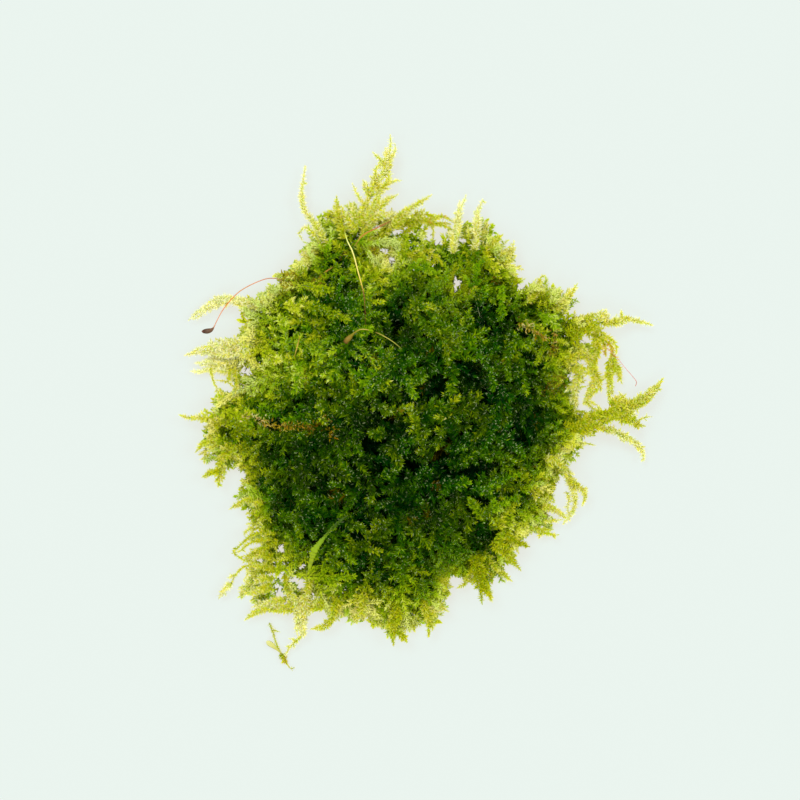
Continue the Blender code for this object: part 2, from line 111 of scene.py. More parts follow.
studio = {
    "lookAt": (-4.1, 0.6, 8.0),
    "frameWidth": 160.0,  # what the picture spans at that height
    "lens": 100.0,
    "sensor": 36.0,
    "worldColour": "#FFFFFF",
    "worldStrength": 0.9,
    "floorSize": 20000.0,
    "floorColour": "#3F6167",
    "floorGlow": "#DFD9CE",  # the table is lit from below, so its shadows are faint and warm
    # for each lamp: how far off straight down it leans, the side that it comes from, its strength
    "lamps": [(30, 125, 1.62), (40, 15, 1.03), (36, 250, 0.77)],
    "lampSpread": 26.0,
}


def setStudio():
    x, y, z = studio["lookAt"]
    distance = studio["frameWidth"] * studio["lens"] / studio["sensor"]
    camera = bpy.data.objects.new("camera", bpy.data.cameras.new("camera"))
    camera.data.lens = studio["lens"]
    camera.data.sensor_width = studio["sensor"]
    camera.data.clip_start = 0.01
    camera.location = (x * mm, y * mm, (z + distance) * mm)
    bpy.context.collection.objects.link(camera)
    bpy.context.scene.camera = camera

    for number, (lean, side, strength) in enumerate(studio["lamps"]):
        lamp = bpy.data.objects.new(f"lamp{number}", bpy.data.lights.new(f"lamp{number}", "SUN"))
        lamp.data.energy = strength
        lamp.data.angle = math.radians(studio["lampSpread"])
        lamp.rotation_euler = (math.radians(lean), 0, math.radians(side + 90))
        bpy.context.collection.objects.link(lamp)

    world = bpy.data.worlds.new("studio")
    world.use_nodes = True
    background = world.node_tree.nodes["Background"]
    background.inputs["Color"].default_value = linearColour(studio["worldColour"])
    background.inputs["Strength"].default_value = studio["worldStrength"]
    bpy.context.scene.world = world
    bpy.context.scene.view_settings.view_transform = "Standard"

    bpy.ops.mesh.primitive_plane_add(size=studio["floorSize"] * mm)
    floor = bpy.context.object
    floor.name = "floor"
    floor.data.materials.append(newMaterial("lit milk glass table", [
        ("Principled BSDF", "BsdfPrincipled",
         {"Base Color": linearColour(studio["floorColour"]), "Roughness": 1.0, "Specular IOR Level": 0.0,
          "Emission Color": linearColour(studio["floorGlow"]), "Emission Strength": 1.0}, {}),
    ]))
    print("studio set")


# Leaf finish. Each leaf's map is one cell of a chart: its column is how dark or bright the leaf is
# painted, for the mat's leaves with painted light and shade worked in, its row is what kind of leaf
# it is, and inside the cell the map runs across and along it.

chart = {
    "columns": 32, "rows": 10, "greens": 6, "deadRow": 6, "deadRows": 3, "stemRow": 9,
    "across": 0.86, "along": (0.06, 0.88),  # how much of its cell a map fills
    "ring": (0.15, 0.5, 0.85),  # where the three corners of a stem lie across it
}

matLeaf = {  # wet one-cell-thick leaves: dark clear green, yellower where they are young
    "green": [(0.0, "#001702"), (0.15, "#052D02"), (0.3, "#1A4801"), (0.45, "#3B6702"), (0.6, "#678E03"),
              (0.75, "#9FB906"), (0.88, "#CDD72A"), (1.0, "#EAEC90")],
    "dead": [(0.0, "#161400"), (0.5, "#6E6000"), (1.0, "#B4A430")],
    "stem": [(0.0, "#0C1403"), (0.5, "#56661A"), (1.0, "#B2A840")],
    # the colour of the painted glints, highlights of light on the wet leaves
    "glint": "#CEDAA0",
    "through": 0.45,
    "throughHue": 0.507,
    "roughness": (0.25, 0.45),
    "wet": 0.02,
    "tipward": 0.16,
}
freeLeaf = {  # the same leaves, young and thin, with light coming through from behind
    "green": [(0.0, "#7C9002"), (0.3, "#AEBC04"), (0.6, "#D2D822"), (0.85, "#E9EA82"), (1.0, "#F3F4CA")],
    "dead": [(0.0, "#8E6C04"), (0.5, "#C8A412"), (1.0, "#E4D07C")],
    "stem": [(0.0, "#7E8A10"), (0.5, "#A8AC1E"), (1.0, "#DBD458")],
    # the colour of the painted glints, highlights of light on the wet leaves
    "glint": "#EEEC9C",
    "through": 0.56,
    "throughHue": 0.496,
    "roughness": (0.25, 0.42),
    "wet": 0.03,
    "tipward": 0.36,
}
deadLeaf = {  # dead leaves, bleached at one end of a shoot and rusty at the other
    "green": [(0.0, "#242000"), (0.3, "#6A5A02"), (0.6, "#AE9A18"), (1.0, "#CCC890")],
    "dead": [(0.0, "#342600"), (0.5, "#9C7208"), (1.0, "#C8BC70")],
    "stem": [(0.0, "#2A1C00"), (0.5, "#76560C"), (1.0, "#AC9640")],
    # the colour of the painted glints, highlights of light on the dead leaves
    "glint": "#D2CC94",
    "through": 0.35,
    "throughHue": 0.5,
    "roughness": (0.3, 0.5),
    "wet": 0.03,
    "tipward": 0.16,
}
leafPattern = {  # what all of them share
    "cells": (9.0, 5.0),  # long narrow cells from base to tip, drawn wider than life so that they show
    "cellTone": 0.12,
    # paler edges: partly the leaves' own pale margins, partly painted highlight along them
    "edgeTone": 0.22,  # how much paler the edges are
    "evenPlace": (0.2, 0.45),  # where across and along a leaf its own tone holds
    "variety": (0.618, 0.37),  # these turn the number of a green into its hue and its brightness
    "hue": (0.046, 0.481),  # the range, and the least
    "value": (0.16, 0.93),
    "rust": (0.016, 0.513),  # the step between kinds of dead leaf, and the middle one
    # painted glints, highlights of light on wet leaves: how thickly they lie, across and along
    "paintedGlints": (1.3, 2.1),  # small and pale
    "glintEdge": (0.665, 0.745),
    "glintDark": (0.05, 1.7, 0.75),  # where they begin, how fast they come in, and the most
    "glintPale": (0.8, 3.0),  # none on the palest leaves
    "bump": {"Strength": 0.25, "Distance": 0.00003},
    "refraction": 1.42,
    "throughColour": {"Saturation": 1.15, "Value": 1.15},
}


def leafMaterial(name, look):
    smooth, rough = look["roughness"]
    evenAcross, evenAlong = leafPattern["evenPlace"]
    cellsAcross, cellsAlong = leafPattern["cells"]
    hueVariety, valueVariety = leafPattern["variety"]
    hueRange, hueLeast = leafPattern["hue"]
    valueRange, valueLeast = leafPattern["value"]
    rustStep, rustMiddle = leafPattern["rust"]
    glintsAcross, glintsAlong = leafPattern["paintedGlints"]
    glintFrom, glintTo = leafPattern["glintEdge"]
    darkest, comeIn, glintMost = leafPattern["glintDark"]
    palest, fade = leafPattern["glintPale"]
    return newMaterial(name, [
        # where a point lies on its leaf: "across" is 0 at the rib and 0.5 at the edge
        ("place", "UVMap", {"uv_map": "OFBake"}, {}),
        ("split", "SeparateXYZ", {}, {0: "place"}),
        ("column", "Math", {"operation": "MULTIPLY", 1: chart["columns"]}, {0: ("split", "X")}),
        ("row", "Math", {"operation": "MULTIPLY", 1: chart["rows"]}, {0: ("split", "Y")}),
        ("inColumn", "Math", {"operation": "FRACT"}, {0: "column"}),
        ("fromRib", "Math", {"operation": "SUBTRACT", 1: 0.5}, {0: "inColumn"}),
        ("across", "Math", {"operation": "ABSOLUTE"}, {0: "fromRib"}),
        ("along", "Math", {"operation": "FRACT"}, {0: "row"}),
        # how bright the leaf is, and which kind
        ("columnNumber", "Math", {"operation": "FLOOR"}, {0: "column"}),
        ("tone", "Math", {"operation": "DIVIDE", 1: chart["columns"] - 1}, {0: "columnNumber"}),
        ("kind", "Math", {"operation": "FLOOR"}, {0: "row"}),
        ("hueTurn", "Math", {"operation": "MULTIPLY", 1: hueVariety}, {0: "kind"}),
        ("hueShare", "Math", {"operation": "FRACT"}, {0: "hueTurn"}),
        ("valueTurn", "Math", {"operation": "MULTIPLY", 1: valueVariety}, {0: "kind"}),
        ("valueShare", "Math", {"operation": "FRACT"}, {0: "valueTurn"}),
        # its cells
        ("cellX", "Math", {"operation": "MULTIPLY", 1: cellsAcross}, {0: "column"}),
        ("cellY", "Math", {"operation": "MULTIPLY", 1: cellsAlong}, {0: "row"}),
        ("cellPlace", "CombineXYZ", {}, {0: "cellX", 1: "cellY"}),
        ("cells", "TexNoise", {"Scale": 1.0, "Detail": 1.0}, {0: "cellPlace"}),
        # paler to the tip, and to the edges: there partly their own pale margins and partly painted
        # highlight along them
        ("fromMiddle", "Math", {"operation": "SUBTRACT", 1: evenAlong}, {0: "along"}),
        ("tipward", "Math", {"operation": "MULTIPLY", 1: look["tipward"]}, {0: "fromMiddle"}),
        ("toneAlong", "Math", {"operation": "ADD"}, {0: "tone", 1: "tipward"}),
        ("fromQuarter", "Math", {"operation": "SUBTRACT", 1: evenAcross}, {0: "across"}),
        ("edgeward", "Math", {"operation": "MULTIPLY", 1: leafPattern["edgeTone"]}, {0: "fromQuarter"}),
        ("toneAcross", "Math", {"operation": "ADD"}, {0: "toneAlong", 1: "edgeward"}),
        ("cellShift", "Math", {"operation": "SUBTRACT", 1: 0.5}, {0: "cells"}),
        ("cellTone", "Math", {"operation": "MULTIPLY", 1: leafPattern["cellTone"]}, {0: "cellShift"}),
        ("spot", "Math", {"operation": "ADD"}, {0: "toneAcross", 1: "cellTone"}),
        # the colours of a green leaf, a dead one and a stem
        ("green", "ValToRGB", {"stops": look["green"]}, {0: "spot"}),
        ("hueRise", "Math", {"operation": "MULTIPLY", 1: hueRange}, {0: "hueShare"}),
        ("hue", "Math", {"operation": "ADD", 1: hueLeast}, {0: "hueRise"}),
        ("valueRise", "Math", {"operation": "MULTIPLY", 1: valueRange}, {0: "valueShare"}),
        ("value", "Math", {"operation": "ADD", 1: valueLeast}, {0: "valueRise"}),
        ("fresh", "HueSaturation", {"Saturation": 1.0}, {"Hue": "hue", "Value": "value", "Color": "green"}),
        ("brown", "ValToRGB", {"stops": look["dead"]}, {0: "spot"}),
        ("deadKind", "Math", {"operation": "SUBTRACT", 1: chart["deadRow"] + 1}, {0: "kind"}),
        ("rustStep", "Math", {"operation": "MULTIPLY", 1: rustStep}, {0: "deadKind"}),
        ("rust", "Math", {"operation": "ADD", 1: rustMiddle}, {0: "rustStep"}),
        ("dead", "HueSaturation", {}, {"Hue": "rust", "Color": "brown"}),
        ("stem", "ValToRGB", {"stops": look["stem"]}, {0: "spot"}),
        ("isDead", "Math", {"operation": "GREATER_THAN", 1: chart["deadRow"] - 0.5}, {0: "kind"}),
        ("leafy", "Mix", {"data_type": "RGBA"}, {"Factor": "isDead", 6: "fresh", 7: "dead"}),
        ("isStem", "Math", {"operation": "GREATER_THAN", 1: chart["stemRow"] - 0.5}, {0: "kind"}),
        ("plain", "Mix", {"data_type": "RGBA"}, {"Factor": "isStem", 6: ("leafy", 2), 7: "stem"}),
        # painted glints: pale specks mixed into the colour stand in for highlights of light on wet leaves
        ("glintX", "Math", {"operation": "MULTIPLY", 1: glintsAcross}, {0: "column"}),
        ("glintY", "Math", {"operation": "MULTIPLY", 1: glintsAlong}, {0: "row"}),
        ("glintPlace", "CombineXYZ", {}, {0: "glintX", 1: "glintY"}),
        ("specks", "TexNoise", {"Scale": 1.0, "Detail": 0.0}, {0: "glintPlace"}),
        ("paintedGlints", "MapRange", {1: glintFrom, 2: glintTo, 3: 0.0, 4: 1.0}, {0: "specks"}),
        ("pastDarkest", "Math", {"operation": "SUBTRACT", 1: darkest}, {0: "tone"}),
        ("comeIn", "Math", {"operation": "MULTIPLY", 1: comeIn}, {0: "pastDarkest"}),
        ("most", "Math", {"operation": "MINIMUM", 1: glintMost}, {0: "comeIn"}),
        ("beforePalest", "Math", {"operation": "SUBTRACT", 0: palest}, {1: "tone"}),
        ("fade", "Math", {"operation": "MULTIPLY", 1: fade}, {0: "beforePalest"}),
        ("least", "Math", {"operation": "MAXIMUM", 1: 0.0}, {0: "fade"}),
        ("glintShare", "Math", {"operation": "MINIMUM"}, {0: "most", 1: "least"}),
        ("glint", "Math", {"operation": "MULTIPLY"}, {0: "paintedGlints", 1: "glintShare"}),
        ("final", "Mix", {"data_type": "RGBA", 7: linearColour(look["glint"])},
         {"Factor": "glint", 6: ("plain", 2)}),
        # the surface, and the light that comes through it
        ("roughRise", "Math", {"operation": "MULTIPLY", 1: rough - smooth}, {0: "cells"}),
        ("roughness", "Math", {"operation": "ADD", 1: smooth}, {0: "roughRise"}),
        ("bump", "Bump", leafPattern["bump"], {"Height": "cells"}),
        ("Principled BSDF", "BsdfPrincipled",
         {"IOR": leafPattern["refraction"], "Specular IOR Level": look["wet"]},
         {"Base Color": ("final", 2), "Roughness": "roughness", "Normal": "bump"}),
        ("glow", "HueSaturation", {"Hue": look["throughHue"], **leafPattern["throughColour"]},
         {"Color": ("final", 2)}),
        ("through", "BsdfTranslucent", {}, {"Color": "glow"}),
        ("mix", "MixShader", {0: look["through"]}, {1: "Principled BSDF", 2: "through"}),
        ("Material Output", "OutputMaterial", {}, {"Surface": "mix"}),
    ])


# The leaf: a small pointed blade, folded along its middle like a boat, its tip bent back

leafShape = {"widest": 0.4, "fold": 0.16, "bend": -0.16}


def modelLeaf(name, split):  # a diamond of two triangles, or split along its middle into four
    bpy.ops.object.select_all(action="DESELECT")
    if split:
        bpy.ops.mesh.primitive_grid_add(x_subdivisions=2, y_subdivisions=2, size=1, location=(0, 0.5, 0))
    else:
        bpy.ops.mesh.primitive_circle_add(vertices=4, radius=0.5, fill_type="NGON", location=(0, 0.5, 0))
    leaf = bpy.context.object
    leaf.name = name
    bpy.ops.object.transform_apply(location=True)
    mesh = leaf.data
    for point in mesh.vertices:
        if 0.1 < point.co.y < 0.9:
            point.co.y = leafShape["widest"]
        elif split:
            point.co.x = 0.0
        point.co.z = leafShape["fold"] * 2 * abs(point.co.x) + leafShape["bend"] * point.co.y ** 2
    bpy.ops.object.mode_set(mode="EDIT")
    bpy.ops.mesh.select_all(action="SELECT")
    bpy.ops.mesh.remove_doubles(threshold=0.001)
    bpy.ops.mesh.quads_convert_to_tris(quad_method="FIXED")
    bpy.ops.object.mode_set(mode="OBJECT")
    points = np.array([v.co for v in mesh.vertices])
    faces = np.array([p.vertices for p in mesh.polygons])
    bpy.data.objects.remove(leaf)
    return points, faces


# The mat that the shoots follow: its height, how far in from the rim each place is, and the way out

matField = {"step": 0.5, "margin": 8.0, "blur": 1.3, "slopeBlur": 2.0, "levelBlur": 2.5}

# Hollows and crests of the mat, seen from above: place, reach, and how far down or up
lumps = [
    (12.3, -28.1, 2.0, -2.4), (-27.9, -20.3, 2.0, -2.2), (21.7, -19.1, 1.8, -2.2),
    (10.7, 17.5, 2.0, -2.6), (10.7, 5.7, 1.8, -3.2), (18.1, 15.5, 1.8, -2.4), (19.3, -8.5, 2.0, -2.6),
    (26.3, 2.7, 2.0, -2.2), (-23.3, 0.3, 1.8, -2.2), (17.5, -17.7, 1.6, -2.0), (-18.3, 28.7, 1.5, -1.8),
    (-22.1, 17.5, 1.6, -2.0), (22.9, 5.7, 1.6, -2.0), (-6.7, -33.1, 1.6, -1.8), (21.1, 18.9, 1.5, -1.8),
    (-4.3, 14.7, 1.6, -2.0), (-4.0, -20.5, 1.6, -2.4), (24.0, -11.5, 1.4, -2.0),
    (-10.0, -15.5, 1.5, -2.0), (7.1, -9.5, 2.2, 1.2), (-4.1, 8.1, 2.2, 1.2), (1.1, -3.3, 2.2, 1.2),
    (22.3, 14.3, 2.0, 1.2), (-11.7, 12.5, 2.2, 1.2), (-0.5, 18.7, 2.2, 1.2), (-19.9, 10.3, 2.2, 1.4),
    (-24.7, 3.5, 2.0, 1.2), (8.7, 13.5, 1.8, 1.2), (-12.7, -7.5, 2.2, 1.0), (14.1, 6.3, 1.6, 1.0),
]

# Gaps in the mat where the floor shows: middle, half width and half length. Their outlines are
# ragged: so many waves go round each, so high
gapWaves = [(3, 0.3), (5, 0.25), (9, 0.15)]
gapSize = 0.7
gaps = [
    (-7.2, 30.7, 1.2, 0.9), (-5.8, 28.7, 0.8, 1.4), (-1.5, 34.5, 1.3, 0.5), (-4.9, 34.5, 1.3, 0.5),
    (-8.7, 35.4, 1.1, 0.6), (2.1, 34.2, 0.9, 2.1), (3.8, 32.5, 1.1, 0.9), (4.6, 35.0, 0.9, 0.7),
    (8.5, 32.7, 1.0, 0.6), (7.4, 24.0, 1.2, 1.9), (20.4, 23.4, 1.2, 0.7), (33.5, 13.0, 1.6, 1.3),
    (36.1, 7.4, 1.2, 3.4), (36.5, 0.6, 1.7, 1.5), (30.9, 5.4, 1.3, 1.2), (32.5, 0.2, 0.9, 3.0),
    (32.5, 8.4, 1.0, 0.7), (28.3, -17.4, 1.3, 1.9), (26.3, -22.4, 0.8, 0.7), (-35.3, 6.3, 1.7, 1.3),
    (-39.8, 5.6, 1.3, 1.0), (-38.9, 3.0, 1.6, 1.0), (-35.9, 3.2, 0.5, 0.7), (-36.6, -14.8, 1.5, 2.0),
    (-33.1, -25.6, 1.3, 0.8), (-28.1, -29.5, 1.0, 1.3), (-33.1, -29.2, 1.5, 0.9),
    (-32.4, -32.2, 0.8, 0.9), (-24.1, -33.1, 0.8, 0.8), (-24.0, -36.5, 1.1, 1.7),
    (-28.6, -38.3, 1.0, 1.2), (-21.8, -39.4, 0.6, 1.0), (-20.6, -42.9, 1.8, 1.3),
    (-16.9, -37.3, 0.4, 0.6), (-16.3, -40.1, 0.9, 0.4),
]

# Where the leafy rim lies further out or in than the solid's: place, reach, and how far
rimShifts = [
    (-31.7, 25.0, 4.6, -2.0), (-26.1, 30.6, 4.2, -1.9), (-38.5, 15.6, 3.6, -2.2),
    (-43.5, -0.4, 3.4, -1.8), (-43.5, -7.4, 2.6, -1.0), (15.9, 30.8, 3.6, -1.5),
    (22.4, 25.0, 3.6, -1.6), (34.9, 18.4, 3.4, -1.6), (21.3, -29.4, 2.8, -2.4), (6.3, -39.4, 3.0, -2.2),
    (3.9, 39.6, 2.8, -1.6), (31.3, -9.4, 2.8, -1.9), (-35.5, -31.5, 3.4, 1.2), (-34.1, -39.0, 3.0, 1.6),
    (31.5, 4.0, 2.6, 1.6), (-14.5, 38.0, 2.4, 1.4), (-20.5, 35.0, 1.8, 1.0), (-36.1, -19.4, 2.2, -0.8),
    (-10.5, -44.0, 2.6, -1.0), (30, 21, 3, -0.9), (21.5, 27.6, 2.4, -0.8), (7.1, -36, 1.6, -1.2),
    (-36, -34.4, 1.5, -0.8),
]

# Places where leaves have browned, and their reach
browned = [
    (-9.1, 9.2, 1), (-23.1, 4.6, 0.8), (1.5, 10.2, 1), (0.7, 3, 0.9), (-4.7, -2.4, 1),
    (-20.5, 24.2, 1.2), (-26.1, 24.6, 2), (-16.1, -18.4, 1.5), (16.9, 8.6, 0.6), (27.9, 4.2, 1.7),
    (26.5, 10.6, 1.1), (0.9, -21.8, 1.4), (2.7, -16.4, 1), (22.7, -12.6, 0.7), (15.3, -5.8, 0.7),
    (-7.1, -10, 0.5), (14.9, 24.2, 1.3), (-2.1, -23, 0.7), (-0.5, -9.4, 0.8), (25.5, 2.6, 1.6),
    (-9.5, 30.2, 0.8), (-15.1, 29.6, 0.8), (37.9, 10.8, 1.6), (37.9, 10.4, 1.3), (1.9, 37, 0.7),
    (4.7, 37.2, 0.9), (-27.4, -52.4, 1.3),
]

# Parts of the mat painted lighter or darker than the rest, partly the leaves' own tone and partly
# painted shade in the hollows: place, reach, and by how much
shadeAndTonePatches = [
    (0.5, 0, 7, 0.05), (-24.1, 12, 8, 0.14), (-18.1, 22.6, 7, 0.04), (-21.1, 1.6, 6, 0.05),
    (-11, 8.6, 6, 0.08), (-28.1, 16.6, 4, 0.06), (-20.1, 8.6, 4, 0.04), (27.9, 16.6, 4, 0.04),
    (-20.1, -39.4, 4, 0.09), (19.9, -7.4, 5, -0.04), (-15.1, -21.9, 7, -0.08), (-0.1, -31.4, 5, -0.06),
    (11.9, -22.4, 4, 0.08), (23.5, 15.6, 5, 0.1), (14.9, -23.4, 5, 0.06), (-14.1, -36.4, 5, 0.07),
    (19.9, 0.6, 4, -0.06), (-20.1, -10.4, 6, -0.09), (-2.1, -15.4, 4, -0.05), (-22.1, -23.4, 4, -0.06),
    (26, 9.6, 4, -0.06), (-20.1, 16.6, 4, -0.04), (-8, 0.6, 5, 0.04), (11.9, -31.4, 4, -0.05),
    (-30.5, -34.5, 3.5, 0.08), (-3.5, -3.4, 4, 0.03), (-29.1, -17.4, 5.5, -0.13),
    (-27.1, -25.4, 4, -0.08), (18.9, 0.6, 7, -0.06), (20.9, -9.4, 6, -0.05), (4.9, -33.4, 6, -0.1),
    (12.4, -27.4, 6, -0.06), (3.9, 16.6, 5, -0.17), (7.9, 8.6, 5, 0.05), (-22.1, -31.4, 4, -0.05),
    (8, 24.6, 4, -0.05), (-4.1, 33.6, 5, 0.14), (-30, -2.6, 4, -0.06), (-26, 25, 3, -0.06),
    (0, -36, 5, 0.06), (8, -12, 5, -0.05), (11.9, 17.6, 3.2, -0.14), (18.5, 17, 2.2, -0.14),
    (14.9, 13.6, 1.5, -0.15), (9.9, 6.4, 2.4, -0.13), (2.9, 8, 1, -0.15), (21.3, 6.6, 2.2, -0.1),
    (11.1, -1, 2.4, -0.1), (-9.1, -8.8, 1.8, -0.17), (-19.1, -8, 1.2, -0.15), (-4.7, -5.4, 1.3, -0.12),
    (-17.7, -21.4, 2.2, -0.1), (-22.9, -26.4, 1.4, -0.1), (-27.3, -20, 1.8, -0.12),
    (-6.9, -25.8, 1.4, -0.1), (10.9, -12.2, 1, -0.16), (3.9, -14.4, 1.6, -0.13),
    (18.5, -18, 1.7, -0.14), (13.1, -26.8, 1.6, -0.12), (-5.7, 11, 2.6, -0.09),
    (-17.7, 20.6, 1.7, -0.11), (-13.7, 22.8, 1.2, -0.12), (-21.1, 18.2, 1.3, -0.12),
    (-16.9, 13.6, 1.9, -0.12), (-23.1, 1, 1.5, -0.12), (-6.5, 0.6, 1.5, -0.12), (17.9, -7.4, 1.9, -0.1),
]

# Pale shoots that lie on top of the mat: the length of their side branches, how pale, their places
surfaceShoots = [
    (1.5, 0.09, [(-27.5, 19.6), (-25.5, 19.2), (-23.3, 19.6), (-21.5, 19.2), (-18.9, 18.4),
                 (-16.5, 17.4), (-14.1, 16.4)]),
    (1.7, 0.15, [(-24.7, 8.8), (-23.9, 6.4), (-24.3, 4), (-25.1, 2)]),
    (1.7, 0.06, [(-21.9, 12.2), (-20.1, 10.6), (-19.5, 8.4)]),
    (1.4, 0.03, [(-23.5, 23.6), (-21.1, 23), (-17.7, 22.4)]),
    (1.6, 0.14, [(-1.7, 21.6), (-0.9, 19.4), (-1.3, 16.8)]),
    (1.2, 0.1, [(5.5, 19.8), (6.5, 18.4), (7.7, 16.6)]),
    (1.4, 0.12, [(6.3, 15), (8.3, 12.6), (10.3, 10.8), (12.1, 9), (13.5, 6.8), (14.3, 4.6), (14.5, 2.8)]),
    (1.3, 0.1, [(3.3, 14.2), (4.5, 12.8), (5.3, 10)]),
    (1.5, 0.1, [(0.7, 7.4), (-0.9, 5), (-2.5, 2.4)]),
    (0.6, 0.16, [(16.3, 23.8), (16.3, 20.6), (16.1, 16.8)]),
    (1.6, 0.06, [(20.3, 13.2), (18.3, 11.6), (17.1, 8.4), (17.5, 4.8)]),
    (1.5, 0.05, [(5.9, 9), (6.3, 5.6), (5.9, 1.8)]),
    (1.7, 0.13, [(-13.3, -4.6), (-12.9, -7.4), (-11.7, -10)]),
    (1, 0.2, [(-6.5, -6.4), (-8.1, -6.2), (-9.9, -5.8)]),
    (1.6, 0.08, [(-21.7, -9.6), (-19.3, -12.2), (-16.9, -13.8), (-13.9, -15)]),
    (1.2, 0.09, [(-25.3, -15.4), (-24.3, -18), (-24.3, -21.4), (-24.9, -23.8), (-23.9, -26.6)]),
    (1.3, 0.12, [(-28.7, -23.2), (-26.9, -23), (-25.3, -22.4)]),
    (1.2, 0.1, [(-14.9, -23.2), (-13.1, -24.2), (-11.1, -25.2)]),
    (1.6, 0.14, [(10.7, -1.6), (12.7, -3.4), (11.9, -6)]),
    (0.9, 0.2, [(5.7, -8.8), (7.3, -8.6), (8.9, -9)]),
    (1.6, 0.1, [(6.7, -13.6), (7.9, -11.8), (9.7, -10.6), (12.7, -10.2), (15.9, -10), (18.9, -11.8)]),
    (1.2, 0.13, [(9.7, -17), (12.9, -16.8), (15.3, -16), (17.5, -14.8), (20.1, -14)]),
    (1.2, 0.11, [(18.9, -17.4), (21.9, -16.8), (24.7, -16.2)]),
    (1.7, 0.13, [(12.5, -22), (14.7, -20.6), (17.1, -19.6), (19.9, -18.8)]),
    (1.6, 0.12, [(14.1, -25.6), (15.9, -23.4), (17.5, -21.6), (19.3, -20.4)]),
    (1.5, 0.11, [(13.1, -23.6), (11.3, -21.2), (9.7, -19.2)]),
    (1.5, 0.08, [(-4.7, -7.2), (-5.9, -9.4), (-3.9, -12)]),
    (1.4, 0.07, [(-9.3, -15.2), (-6.5, -13.8), (-4.1, -13)]),
    (1.5, 0.08, [(-17.9, -0.2), (-19.7, -2), (-19.1, -4)]),
    (1.4, 0.1, [(-9.7, 1), (-7.5, -1.2), (-4.9, -1.8), (-2.5, -0.8)]),
    (1.4, 0.1, [(-4.9, 5.6), (-2.5, 3.8), (-1.1, 1)]),
    (1.6, 0.06, [(-40, -1.2), (-37, -2.6), (-34, -4.2)]),
    (1.6, 0.06, [(-39.5, -4.6), (-36.5, -3.2), (-33.5, -1.6)]),
    (1.5, 0.03, [(-38.5, -6.4), (-35.5, -5.6), (-32.5, -5.8)]),
    (1.6, 0.0, [(-3, 29.8), (0, 29), (2.6, 28)]),
    (1.5, 0.03, [(0.5, 31.2), (2.4, 29.6), (4.2, 28)]),
    (1.5, 0.03, [(-32, 10.4), (-30, 9.2), (-28, 8.4)]),
    (1.6, 0.0, [(-2.8, 27.4), (0, 27), (2.8, 26.4)]),
    (1.5, 0.0, [(-1.6, 31.2), (0.2, 28.8), (2, 25.8)]),
    (1.6, -0.02, [(23.4, 18.2), (26, 16.4), (28, 14.6)]),
    (1.6, -0.02, [(19, 17.6), (21.5, 16), (24.2, 14.4)]),
    (1.5, -0.02, [(8.6, 19), (9.8, 21), (11, 23)]),
    (1.6, -0.02, [(11.4, 29.4), (13.4, 28.2), (15.6, 26.4)]),
    (1.5, 0.0, [(13.6, 26), (16.2, 27.4)]),
    (1.4, 0.04, [(-29.6, -34.2), (-27.4, -33.4), (-25.6, -34.6)]),
]
surfaceGrowth = {"lift": 0.9, "spacing": 0.75, "first": 0.5, "reach": 1.3, "angle": 48.0, "keep": 0.95,
                 "curl": -0.12, "follow": 0.4, "shortest": 0.6}
anyReach = 99.0  # for shoots that may go past the rim


def bell(across, up, reach):  # 1 at the middle, and down to nothing round it
    return np.exp(-0.5 * (across ** 2 + up ** 2) / reach ** 2)


def blurred(field, reach):
    width = int(3 * reach / matField["step"])
    weights = bell(np.arange(-width, width + 1) * matField["step"], 0.0, reach)
    weights /= weights.sum()
    for axis in (0, 1):
        field = np.apply_along_axis(lambda line: np.convolve(line, weights, "same"), axis, field)
    return field


def readMat():
    mesh = frame["nodes"]["moss_mat"].data
    tree = BVHTree.FromPolygons([v.co for v in mesh.vertices], [p.vertices for p in mesh.polygons])
    low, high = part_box("moss_mat")
    step, margin = matField["step"], matField["margin"]
    xs = np.arange(low.x / mm - margin, high.x / mm + margin, step)
    ys = np.arange(low.y / mm - margin, high.y / mm + margin, step)
    heights = np.zeros((len(ys), len(xs)))
    for j, y in enumerate(ys):
        for i, x in enumerate(xs):
            hit = tree.ray_cast(Vector((x * mm, y * mm, 1.0)), Vector((0, 0, -1)))[0]
            heights[j, i] = hit.z / mm if hit else 0.0
    covered = heights > 0
    x, y = np.meshgrid(xs, ys)

    def farFrom(mask, places):  # distance from each place to the nearest one in the mask
        near = np.argwhere(mask)
        cloud = kdtree.KDTree(len(near))
        for number, (j, i) in enumerate(near):
            cloud.insert((xs[i], ys[j], 0), number)
        cloud.balance()
        return [cloud.find((xs[i], ys[j], 0))[2] for j, i in places]

    depth = np.zeros_like(heights)
    inside, outside = np.argwhere(covered), np.argwhere(~covered)
    depth[tuple(inside.T)] = farFrom(~covered, inside)
    depth[tuple(outside.T)] = -np.array(farFrom(covered, outside))
    for cx, cy, reach, shift in rimShifts:
        depth += shift * bell(x - cx, y - cy, reach)
    covered = depth > 0
    share = np.maximum(blurred(covered.astype(float), matField["blur"]), 1e-3)
    canopy = blurred(heights, matField["blur"]) / share * np.clip(share * 3, 0, 1)
    for cx, cy, reach, rise in lumps:
        canopy += rise * bell(x - cx, y - cy, reach) * covered
    smooth = blurred(depth, matField["slopeBlur"])
    slopeY, slopeX = np.gradient(smooth)
    matField.update(x0=xs[0], y0=ys[0], canopy=canopy, level=blurred(canopy, matField["levelBlur"]),
                    depth=depth, outward=np.arctan2(-slopeY, -slopeX), covered=covered, xs=xs, ys=ys)
    print("mat read:", len(inside), "places, highest", round(float(canopy.max()), 1), "mm")


